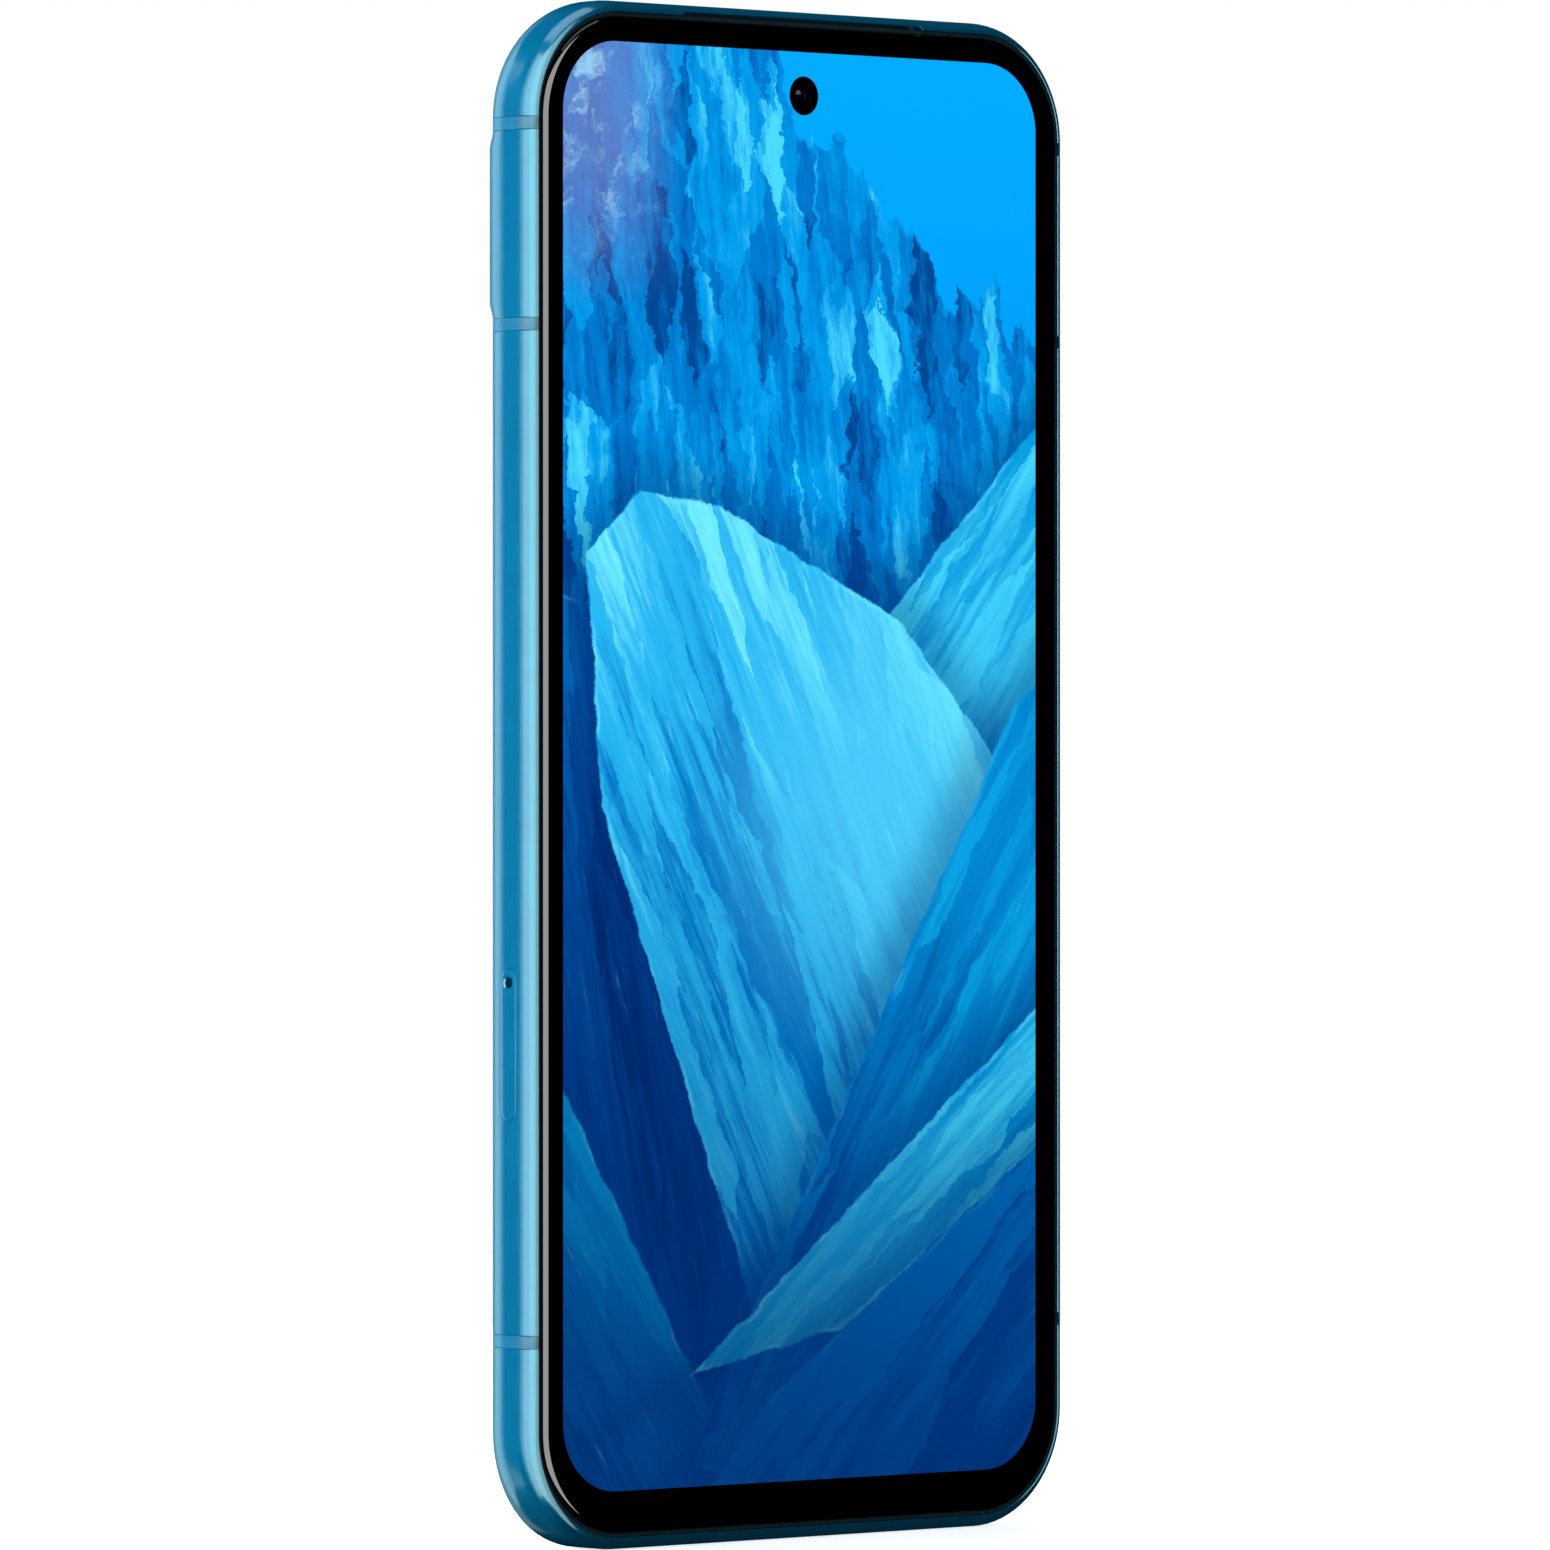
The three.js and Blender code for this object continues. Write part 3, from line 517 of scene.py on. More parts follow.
def back_plastic():
    return varied("back_cover_blue", [0.0008, 0.222, 0.465, 1], [0.0010, 0.230, 0.480, 1], 0.12,
                  (0.38, 0.44), 0.0015, Metallic=0.25, Coat_Weight=0.35, Coat_Roughness=0.3)


def black_rubber():
    return varied("gasket_rubber", [0.024, 0.060, 0.080, 1], [0.032, 0.074, 0.098, 1], 1.5, (0.6, 0.75),
                  0.004, Specular_IOR_Level=0.05)


def black_plastic():
    return varied("moulded_black", [0.006, 0.006, 0.007, 1], [0.012, 0.012, 0.013, 1], 2.0, (0.4, 0.55),
                  0.006)


def screen_ink():
    return varied("screen_border_ink", [0.0003, 0.0003, 0.0004, 1], [0.0006, 0.0006, 0.0007, 1], 1.0,
                  (0.5, 0.6), 0.0005, Specular_IOR_Level=0.0)


def edge_lacquer():
    """Black lacquer behind glass, as smooth as the glass."""
    return varied("glass_edge_lacquer", [0.0006, 0.0006, 0.0007, 1], [0.0010, 0.0010, 0.0011, 1], 1.0,
                  (0.02, 0.03), 0.0001, IOR=1.5)


def brushed(name, dark, light, rough, turn=(0, 0, 0)):
    """Metal drawn along one direction."""
    f = Finish(name, Metallic=1.0)
    lines = f.noise(f.stretch(f.point, (0.4, 12, 12), turn), 2.0, 4.0)
    f.set("Base Color", f.ramp(lines, (0.35, dark), (0.65, light)))
    f.set("Roughness", f.step(lines, 0.3, 0.7, *rough))
    f.bump(lines, 0.002)
    return f.material


def steel():
    return brushed("steel", [0.42, 0.43, 0.45, 1], [0.60, 0.61, 0.63, 1], (0.22, 0.36))


def plate_metal():
    return brushed("plate_metal", [0.30, 0.31, 0.33, 1], [0.46, 0.47, 0.49, 1], (0.32, 0.46), (0, 90, 0))


def gold():
    return brushed("gold_contact", [0.62, 0.40, 0.12, 1], [0.80, 0.56, 0.22, 1], (0.2, 0.32))


def copper_winding():
    """Flat copper wire wound in turns about the coil's middle."""
    f = Finish("copper_winding", Metallic=1.0)
    centre = middle("charging_coil")
    offset = f.vector("SUBTRACT", f.point, (centre.x, 0.0, centre.z))
    flat = f.vector("MULTIPLY", offset, (1.0, 0.0, 1.0))
    turns = f.math("SINE", f.times(f.vector("LENGTH", flat), 2 * math.pi / 0.9))
    f.set("Base Color", f.ramp(turns, (0.1, [0.25, 0.07, 0.03, 1]), (0.6, [0.80, 0.38, 0.20, 1])))
    f.set("Roughness", f.step(turns, -1.0, 1.0, 0.5, 0.25))
    f.bump(turns, 0.05)
    return f.material


def ferrite():
    return varied("ferrite_sheet", [0.020, 0.020, 0.022, 1], [0.045, 0.045, 0.048, 1], 1.2, (0.5, 0.7),
                  0.01, Metallic=0.1)


def flex_film():
    """Amber polyimide with the darker lines of its tracks."""
    f = Finish("flex_film", Coat_Weight=0.4, Coat_Roughness=0.15)
    x = f.split(f.point)[0]
    tracks = f.math("SINE", f.times(x, 2 * math.pi / 0.5))
    f.set("Base Color", f.ramp(tracks, (0.4, [0.20, 0.085, 0.012, 1]), (0.6, [0.42, 0.20, 0.03, 1])))
    f.set("Roughness", f.step(f.noise(f.point, 3.0), 0.3, 0.7, 0.28, 0.4))
    f.bump(tracks, 0.01)
    return f.material


def circuit_board():
    """Dark green solder mask over square-cut copper tracks, with bare pads."""
    f = Finish("circuit_board", Coat_Weight=0.5, Coat_Roughness=0.2)
    tracks = f.step(f.cells(f.stretch(f.point, (1, 0.1, 1)), 0.9, "DISTANCE_TO_EDGE"), 0.03, 0.06)
    pads = f.step(f.cells(f.point, 1.6), 0.10, 0.14, 1.0, 0.0)
    mask = f.mix(tracks, [0.016, 0.13, 0.06, 1], [0.004, 0.055, 0.03, 1])
    f.set("Base Color", f.mix(pads, mask, [0.72, 0.50, 0.18, 1]))
    f.set("Metallic", pads)
    f.set("Roughness", f.step(f.noise(f.point, 4.0), 0.3, 0.7, 0.3, 0.45))
    f.bump(tracks, -0.02)
    return f.material


def battery_wrap():
    """Dark film with the soft creases of a wrapped pouch."""
    f = Finish("battery_wrap", Coat_Weight=0.3, Coat_Roughness=0.25)
    creases = f.noise(f.stretch(f.point, (0.2, 1, 0.07)), 1.0, 5.0)
    f.set("Base Color", f.ramp(creases, (0.3, [0.008, 0.009, 0.011, 1]), (0.7, [0.03, 0.032, 0.036, 1])))
    f.set("Roughness", f.step(creases, 0.3, 0.7, 0.35, 0.55))
    f.bump(creases, 0.08)
    return f.material


def grille_wire():
    return varied("grille_wire", [0.002, 0.010, 0.024, 1], [0.006, 0.022, 0.045, 1], 3.0, (0.45, 0.6),
                  0.003, Metallic=0.8)


def led_phosphor():
    return varied("led_phosphor", [0.62, 0.50, 0.10, 1], [0.85, 0.72, 0.22, 1], 4.0, (0.35, 0.5), 0.01,
                  Coat_Weight=0.6, Coat_Roughness=0.1)


def diffuser():
    """Milky clear plastic."""
    return varied("flash_diffuser", [0.80, 0.80, 0.76, 1], [0.92, 0.92, 0.88, 1], 2.0, (0.18, 0.3), 0.004,
                  Transmission_Weight=0.55, IOR=1.49)


def polished(name, scale, dark, light, rough, **constants):
    """Glass with the faintest drift in its colour and polish."""
    f = Finish(name, **constants)
    drift = f.noise(f.point, scale, 2.0)
    f.set("Base Color", f.ramp(drift, (0.3, dark), (0.7, light)))
    f.set("Roughness", f.step(drift, 0.2, 0.8, *rough))
    return f.material


def clear_glass():
    return polished("cover_glass", 0.05, [0.985, 0.99, 0.992, 1], [0.995, 0.998, 1.0, 1], (0.0, 0.012),
                    Transmission_Weight=1.0, IOR=1.5)


def tinted_glass():
    return polished("camera_window_glass", 0.15, [0.66, 0.68, 0.72, 1], [0.70, 0.72, 0.76, 1], (0.01, 0.03),
                    Transmission_Weight=1.0, IOR=1.52)


def coated_lens():
    """Dark optical glass with the violet and green of its coating."""
    f = Finish("coated_lens", Metallic=0.0, IOR=1.6, Coat_Weight=1.0, Coat_Roughness=0.02)
    facing = f.node("LayerWeight", {"Blend": 0.35}, "Facing")
    colors = [0.004, 0.010, 0.020, 1], [0.016, 0.010, 0.040, 1], [0.004, 0.026, 0.022, 1]
    f.set("Base Color", f.ramp(facing, *zip((0.0, 0.45, 1.0), colors)))
    f.set("Roughness", f.step(f.noise(f.point, 1.0), 0.2, 0.8, 0.02, 0.05))
    return f.material


# ---------------------------------------------------------------- the picture on the screen


def edge_distance(f, p, start, end):
    """How far a point lies to the left of the line from start to end."""
    dx, dz = end[0] - start[0], end[1] - start[1]
    length = math.hypot(dx, dz)
    normal = (-dz / length, 0.0, dx / length)
    return f.vector("DOT_PRODUCT", f.vector("SUBTRACT", p, (start[0], 0.0, start[1])), normal)


def inside(f, p, corners):
    """Distance inside a convex outline given anticlockwise; negative outside it."""
    nearest = None
    for start, end in zip(corners, corners[1:] + corners[:1]):
        distance = edge_distance(f, p, start, end)
        nearest = distance if nearest is None else f.math("MINIMUM", nearest, distance)
    return nearest


def roughened(f, p, scale, reach):
    """Coordinates pushed about by noise, so that edges drawn on them break up."""
    push = f.vector("SUBTRACT", f.noise(p, scale, 6.0, 0.65, "Color"), (0.5, 0.5, 0.5))
    return f.vector("ADD", p, f.scale(f.vector("MULTIPLY", push, (1.0, 0.0, 1.0)), 2 * reach))


def facets(f, p, factors, lean, scale):
    """Flat-toned splinters: a random tone for each cell of a stretched, leaning grid."""
    tones = f.cells(f.stretch(p, factors, (0, lean, 0)), scale, "F1", "Color")
    return f.split(tones)[0]


def crystal(f, p, below, corners, lean, tones, seed, glow, heart):
    """Lays one leaning crystal over the picture: its shadow, its splintered body and its lit edge."""
    dark, mid, light = tones
    own = f.vector("ADD", p, (seed, 0.0, seed * 0.6))
    broken = f.math("SUBTRACT", f.noise(own, 2.2, 7.0, 0.7), 0.5)
    depth = f.plus(inside(f, p, corners), f.times(broken, 0.20))
    turned = f.stretch(own, (1.0, 1.0, 1.0), (0, lean, 0))
    bent = roughened(f, turned, 1.4, 0.22)
    planes = facets(f, bent, (1.1, 1.0, 0.22), 0, 0.9)
    splinters = facets(f, bent, (4.2, 1.0, 0.5), 3, 0.9)
    grain = f.noise(f.stretch(turned, (7.0, 1.0, 0.5)), 1.0, 8.0, 0.72)
    tone = f.weigh((planes, 0.22), (splinters, 0.20), (grain, 0.66))
    lit_side = f.step(edge_distance(f, p, corners[0], corners[1]), 0.0, 4.2, 0.14, -0.12)
    tone = f.plus(tone, lit_side)
    body = f.ramp(tone, (0.34, dark), (0.54, mid), (0.78, light))
    glints = f.noise(f.stretch(turned, (13.0, 1.0, 0.8)), 1.0, 5.0, 0.7)
    away = f.vector("LENGTH", f.vector("SUBTRACT", p, (heart[0], 0.0, heart[1])))
    haze = f.plus(f.step(away, 0.3, 3.0, heart[2], 0.0), f.times(broken, 0.25))
    body = f.mix(f.math("MAXIMUM", haze, 0.0), body, f.mix(0.6, light, mid))
    patches = f.step(f.noise(own, 0.8, 3.0), 0.45, 0.62)
    sparkle = f.times(f.step(glints, 0.60, 0.72, 0.0, glow), patches)
    body = f.mix(sparkle, body, srgb(178, 230, 255))
    under = f.mix(f.step(depth, -0.7, 0.0, 0.0, 0.5), below, srgb(0, 48, 124))
    rim = f.step(f.math("ABSOLUTE", f.math("SUBTRACT", depth, 0.03)), 0.0, 0.035, 0.7 * glow, 0.0)
    rim = f.times(rim, f.step(f.noise(own, 1.6, 4.0), 0.46, 0.62))
    return f.mix(f.step(depth, -0.01, 0.02), under, f.mix(rim, body, srgb(150, 220, 255)))


DEEP = (srgb(0, 32, 100), srgb(0, 66, 146), srgb(0, 106, 190))
BLUE = (srgb(0, 70, 152), srgb(0, 116, 198), srgb(24, 162, 230))
BRIGHT = (srgb(0, 98, 180), srgb(0, 146, 220), srgb(104, 204, 250))
PALE = (srgb(0, 112, 198), srgb(60, 172, 238), srgb(166, 224, 255))

# From back to front, each crystal's corners, its lean, dark to light tones, seed and glow, and the place
# and strength of its pale heart.
CRYSTALS = (
    ([(4.2, 4.4), (0.4, 0.8), (1.6, -3.4), (4.2, -1.6)], 38, BRIGHT, 11.0, 0.6, (3.6, 0.6, 0.5)),
    ([(-1.0, 1.2), (-4.2, 1.9), (-4.2, -6.4), (-0.8, -6.0)], -14, DEEP, 3.0, 0.3, (-3.0, 1.0, 0.0)),
    ([(1.35, 1.45), (-1.2, 2.6), (-2.2, 2.7), (-2.9, 2.1), (-2.7, -0.4), (-0.7, -5.4), (0.5, -4.6),
      (2.7, 0.0)], -27, PALE, 7.0, 0.8, (1.2, -0.4, 0.75)),
    ([(-3.4, -2.8), (-4.2, -2.2), (-4.2, -8.0), (-0.3, -8.0)], -34, BLUE, 19.0, 0.7, (-2.9, -4.6, 0.4)),
    ([(4.2, 1.6), (2.9, 0.6), (-1.6, -6.9), (-0.2, -7.2), (4.2, -1.9)], 31, BLUE, 23.0, 0.25,
     (3.2, -0.8, 0.5)),
    ([(4.2, -1.7), (-1.5, -6.0), (0.6, -5.6), (4.2, -3.2)], 50, BRIGHT, 29.0, 0.8, (0.6, -5.0, 0.5)),
    ([(4.2, -3.2), (-0.5, -6.3), (-2.4, -8.4), (4.2, -8.4)], 46, DEEP, 31.0, 0.15, (2.0, -6.0, 0.0)),
)


def crystal_picture(f):
    """An imagined cave of blue crystal, in centimetres from the middle of the screen."""
    p = f.scale(f.vector("SUBTRACT", f.point, (0.0, 0.0, SCREEN_Z)), 0.1)
    p = f.vector("MULTIPLY", p, (1.0, 0.0, 1.0))
    x, _, z = f.split(p)

    sky = f.mix(f.step(z, 1.5, 7.0), srgb(0, 138, 230), srgb(6, 160, 255))
    jagged = roughened(f, p, 1.9, 0.34)
    blocks = facets(f, jagged, (1.5, 1.0, 0.42), -8, 1.15)
    chips = facets(f, jagged, (4.6, 1.0, 1.1), -5, 1.0)
    flutes = f.noise(f.stretch(p, (4.2, 1.0, 0.7), (0, -6, 0)), 1.3, 9.0, 0.74)
    tone = f.weigh((blocks, 0.26), (chips, 0.20), (flutes, 0.62))
    rock = f.ramp(tone, (0.34, srgb(0, 66, 146)), (0.46, srgb(0, 112, 200)), (0.60, srgb(4, 148, 232)),
                  (0.76, srgb(110, 206, 252)))
    ridge = f.times(f.noise(f.stretch(jagged, (1.7, 1.0, 0.3)), 0.8, 6.0), 3.6)
    ridge = f.plus(f.times(x, -0.8), ridge)
    wall = f.step(f.math("SUBTRACT", f.plus(ridge, 4.9), z), 0.0, 0.06)
    picture = f.mix(wall, sky, rock)

    haze = f.times(f.step(x, -1.6, -2.7), f.step(z, 4.4, 6.2))
    frost = f.step(f.noise(jagged, 2.6, 8.0, 0.7), 0.50, 0.66)
    mist = f.mix(frost, srgb(144, 120, 196), srgb(236, 202, 240))
    picture = f.mix(f.times(haze, 0.8), picture, mist)

    for corners, lean, tones, seed, glow, heart in CRYSTALS:
        picture = crystal(f, p, picture, corners, lean, tones, seed, glow, heart)
    deeper = f.plus(z, f.times(x, 0.3))
    picture = f.mix(f.step(deeper, 0.2, -7.6, 0.0, 0.84), picture, srgb(0, 40, 108))
    return f.mix(1.0, picture, [0.45, 1.14, 1.04, 1.0], "MULTIPLY")


def lit_screen():
    f = Finish("lit_screen", Specular_IOR_Level=0.0)
    fine = f.noise(f.point, 0.5, 2.0)
    f.set("Base Color", f.ramp(fine, (0.3, [0.001, 0.001, 0.0015, 1]), (0.7, [0.002, 0.002, 0.003, 1])))
    f.set("Roughness", f.step(fine, 0.3, 0.7, 0.3, 0.36))
    f.set("Emission Color", crystal_picture(f))
    f.shader.inputs["Emission Strength"].default_value = 1.08
    return f.material


FINISHES = {
    "frame_metal": anodised(),
    "break_plastic": break_plastic(),
    "plate_metal": plate_metal(),
    "cover_glass": clear_glass(),
    "display": lit_screen(),
    "black_rubber": black_rubber(),
    "flex_film": flex_film(),
    "back_plastic": back_plastic(),
    "window_glass": tinted_glass(),
    "black_plastic": black_plastic(),
    "steel": steel(),
    "grille_mesh": grille_wire(),
    "led": led_phosphor(),
    "diffuser": diffuser(),
    "circuit_board": circuit_board(),
    "gold_contact": gold(),
    "battery_wrap": battery_wrap(),
    "ferrite": ferrite(),
    "copper": copper_winding(),
}

# ---------------------------------------------------------------- frame and antenna breaks


def frame_side_stops():
    """Heights of the frame's cross-sections along a side, fine where it changes shape."""
    stops = {z: "" for z in spread(CORNER_R, HEIGHT - CORNER_R, 3)}
    for start in (BAR_BOTTOM, BAR_TOP - BAR_RAMP):
        stops.update({z: "" for z in spread(start, start + BAR_RAMP, BAR_RAMP / 8)})
    ordered = []
    for place in sorted(BREAK_HEIGHTS, key=BREAK_HEIGHTS.get):
        low, high = BREAK_HEIGHTS[place] - BREAK_HALF, BREAK_HEIGHTS[place] + BREAK_HALF
        margin = 2 * BREAK_EDGE
        stops = {z: tag for z, tag in stops.items() if not low - margin < z < high + margin}
        ordered += [(low - BREAK_EDGE, ""), (low, "edge"), (low + BREAK_SLANT, "slit")]
        ordered += [(high - BREAK_SLANT, "slit"), (high, "edge"), (high + BREAK_EDGE, "")]
    return sorted([*stops.items(), *ordered], key=lambda stop: stop[0])


EARPIECE = cad("earpiece_mesh")[1].x + 0.2
EARPIECE_BLEND = 0.3
EARPIECE_RECESS = 0.36


def frame_end_stops():
    """Places across the top, fine at the ends of the earpiece slit."""
    cx = WIDTH / 2 - CORNER_R
    reach = EARPIECE + EARPIECE_BLEND
    stops = set(spread(-cx, -reach, 3) + spread(reach, cx, 3))
    stops |= set(spread(-EARPIECE, EARPIECE, 4))
    for side in SIDE_SIGNS.values():
        stops |= {side * (EARPIECE + EARPIECE_BLEND * i / 4) for i in range(5)}
    return [(x, "") for x in sorted(stops)]


def lip_inset(place):
    """The glass pocket's wall: it stands further out along the earpiece slit."""
    cx, _, angle, _ = place
    if abs(math.sin(angle) - 1) > 1e-6:
        return LIP_INSET
    return LIP_INSET - EARPIECE_RECESS * (1 - smoothstep((abs(cx) - EARPIECE) / EARPIECE_BLEND))


FRONT_STEPS = 18
BACK_STEPS = 16
SKIN_POINTS = FRONT_STEPS + BACK_STEPS + 2


def skin_profile(place, extra):
    """The outer surface from the lip to the seam, as pairs of inset and depth."""
    lip = lip_inset(place)
    share = min(1.0, math.acos(max(-1.0, 1 - (lip - 0.07) / LIP_INSET)) / (math.pi / 2))
    depths = []
    for i in range(FRONT_STEPS + 1):
        angle = math.pi / 2 * share * (1 - i / FRONT_STEPS)
        depths.append(FLAT[0] - (FLAT[0] - LIP_DEPTH) * math.sin(angle))
    depths += [FLAT[1] + (SEAM_DEPTH - 0.05 - FLAT[1]) * i / BACK_STEPS for i in range(BACK_STEPS + 1)]
    return [(skin_inset(place, depth) + extra, depth) for depth in depths]


def core_profile():
    """The floor of an antenna slit, with as many points as the outer surface."""
    points = []
    pieces = len(BREAK_CORE) - 1
    for i in range(SKIN_POINTS):
        place = i / (SKIN_POINTS - 1) * pieces
        k = min(int(place), pieces - 1)
        (i0, d0), (i1, d1) = BREAK_CORE[k], BREAK_CORE[k + 1]
        points.append((i0 + (i1 - i0) * (place - k), d0 + (d1 - d0) * (place - k)))
    return points


def frame_profile(place):
    """The frame's closed cross-section at a place on the outline."""
    lip = lip_inset(place)
    slit = place[3] == "slit"
    ledge = SEAM_DEPTH - 0.1
    outer = core_profile() if slit else skin_profile(place, BREAK_GROOVE if place[3] == "edge" else 0.0)
    seam_inset = outer[-1][0]
    lip_top = 1.37 if slit else outer[0][1] + 0.05
    return [
        *outer,
        (seam_inset + (0.0 if slit else 0.06), SEAM_DEPTH),
        (2.1, SEAM_DEPTH),
        (2.1, ledge),
        (3.1, ledge),
        (3.1, 6.9),
        (2.0, 5.7),
        (WALL_INSET, 4.4),
        (WALL_INSET, SHELF_BACK),
        (SHELF_INSET, SHELF_BACK),
        (SHELF_INSET, SHELF_FRONT),
        (lip, SHELF_FRONT),
        (lip, lip_top),
    ]


FLARE_END = 0.005


def slot_tool(name, lay, centre, outline_of, inner, outer, chamfer=0.07):
    """A cutter for a slot, flared where it meets the outer surface."""
    past = 1.0 if outer > inner else -1.0
    levels = [(inner, 0.0), (outer - past * chamfer, 0.0)]
    levels += [(outer + past * FLARE_END, -chamfer), (outer + past, -chamfer)]
    return stack(name, lay, centre, outline_of, levels)


def key_outline(node, slack):
    """The stadium of a key's cap, with a clearance round it."""
    low, high = cad(node)
    half = (high.z - low.z) / 2 - KEY_FLANGE
    return shrinking(stadium, (half, KEY_HALF_WIDTH), slack=slack)


SIM_Y = middle("sim_tray_seal").y
SIM_Z = middle("sim_tray_seal").z
SIM_HALF = (7.45, 1.2)
PORT_Y = middle("usb_c_shell").y
PORT_HALF = (cad("usb_c_shell")[1].x, middle("usb_c_shell").y - cad("usb_c_shell")[0].y)
GRILLE_X = middle("loudspeaker_mesh").x
GRILLE_HALF = (6.0, 0.75)
KEYS = {"power_button": "power_key", "volume_rocker": "volume_key"}
KEY_HALF_WIDTH = 1.15
KEY_FLANGE = 0.7  # how far a key's flange reaches past its cap, and its half width
KEY_SLACK = 0.06
TRAY_SLACK = 0.04
PORT_SLACK = 0.1
MICROPHONE_R = 0.5


def frame_tools():
    """Cutters for the drawer, the keys, the port, the grilles and the microphone."""
    side, top = WIDTH / 2, HEIGHT
    sim = shrinking(stadium, SIM_HALF, slack=TRAY_SLACK)
    tools = [slot_tool("sim_slot", along_x, (SIM_Y, SIM_Z), sim, 3 - side, -side, 0.01)]
    for node in KEYS:
        centre = (SIM_Y, middle(node).z)
        tools.append(slot_tool(f"{node}_slot", along_x, centre, key_outline(node, KEY_SLACK), side - 3, side))
    port = shrinking(stadium, PORT_HALF, slack=PORT_SLACK)
    tools.append(slot_tool("port_hole", along_z, (0.0, PORT_Y), port, 4.0, 0.0, 0.18))
    grille = shrinking(stadium, GRILLE_HALF)
    for sign in SIDE_SIGNS.values():
        tools.append(slot_tool("grille_hole", along_z, (sign * GRILLE_X, PORT_Y), grille, 3.0, 0.0, 0.12))
    sound = shrinking(circle, [MICROPHONE_R], 32)
    place = (middle("top_microphone").x, PORT_Y)
    tools.append(slot_tool("microphone_hole", along_z, place, sound, top - 3, top, 0.06))
    return tools


def build_frame():
    places = stations(frame_side_stops(), frame_end_stops(), 20)
    rings = [[on_outline(place, inset, depth) for inset, depth in frame_profile(place)] for place in places]
    body = loft("frame_shell", rings, closed=True)
    cut(body, *frame_tools())
    return piece(body, "frame_metal", ["frame"])


def build_breaks():
    """The plastic strips that fill the frame's slits, flush with its surface."""
    floor = [(inset - GAP, depth) for inset, depth in reversed(core_profile())]
    for side_name, side in SIDE_SIGNS.items():
        for name, z in BREAK_HEIGHTS.items():
            half = BREAK_HALF - GAP
            rings = []
            flat = half - BREAK_EDGE
            softened = ((-half, BREAK_GROOVE), (-flat, 0.0), (0.0, 0.0), (flat, 0.0), (half, BREAK_GROOVE))
            for offset, extra in softened:
                place = (side * (WIDTH / 2 - CORNER_R), z + offset, 0.0 if side > 0 else math.pi, "")
                outer = skin_profile(place, extra)
                outer[-1] = (outer[-1][0], SEAM_DEPTH - GAP)
                rings.append([on_outline(place, inset, depth) for inset, depth in [*outer, *floor]])
            obj = loft(f"antenna_strip_{side_name}_{name}", rings)
            piece(obj, "break_plastic", [f"antenna_break_{side_name}_{name}"])


build_frame()
build_breaks()

# ---------------------------------------------------------------- screen


def build_glass():
    """The flat pane of the cover glass."""
    back = GLASS_THICKNESS
    profile = [(GLASS_FLAT + 1.0, back), (GLASS_FLAT, back), (GLASS_FLAT, 0.0), (GLASS_FLAT + 0.25, 0.0)]
    obj = slab("front_glass", profile, stations(corner_steps=24))
    return piece(obj, "cover_glass", ["cover_glass"])


def build_glass_edge():
    """The rounded edge of the cover glass, lacquered black from behind."""
    back, bevel, steps = GLASS_THICKNESS, 0.06, 14
    section = [(GLASS_FLAT + PRINT_BOND, back), (GLASS_INSET + bevel, back), (GLASS_INSET, back - bevel)]
    for angle in quarter(steps):
        inset = GLASS_INSET + GLASS_ROUND * (1 - math.cos(angle))
        section.append((inset, GLASS_EDGE * (1 - math.sin(angle))))
    section.append((GLASS_FLAT + PRINT_BOND, PRINT_BOND))
    return piece(ring_along("front_glass_edge", section), "cover_glass", material=EDGE_LACQUER)


def ring_between(name, outer_rings, inner_rings):
    """A closed band from matching outer and inner loops of points."""
    rings = [list(ring) for ring in outer_rings] + [list(ring) for ring in inner_rings]
    return loft(name, rings, closed=True)


def build_border():
    """The black print behind the glass, and the ring of it round the front camera."""
    near, far = GLASS_THICKNESS - PRINT_BOND, GLASS_THICKNESS + 0.035
    half = (SCREEN_WIDTH / 2, SCREEN_HEIGHT / 2)
    steps = 20

    def opening(depth):
        return along_y((0.0, SCREEN_Z), rounded(*half, SCREEN_CORNER, steps), depth)

    def outside(depth):
        inset = GLASS_FLAT + 2 * PRINT_BOND
        outline = rounded(WIDTH / 2 - inset, HEIGHT / 2 - inset, CORNER_R - inset, steps)
        return along_y((0.0, HEIGHT / 2), outline, depth)

    border = ring_between("screen_border", [outside(near), outside(far)], [opening(far), opening(near)])
    outer, inner = PUPIL_R - 0.01, 1.12
    corners = ((outer, near), (outer, far), (inner, far), (inner, near))
    pupil = [along_y((0.0, PUPIL_Z), circle(r, 96), depth) for r, depth in corners]
    merge(border, loft("camera_ring", pupil, closed=True))
    return piece(border, "black_plastic", material=INK)


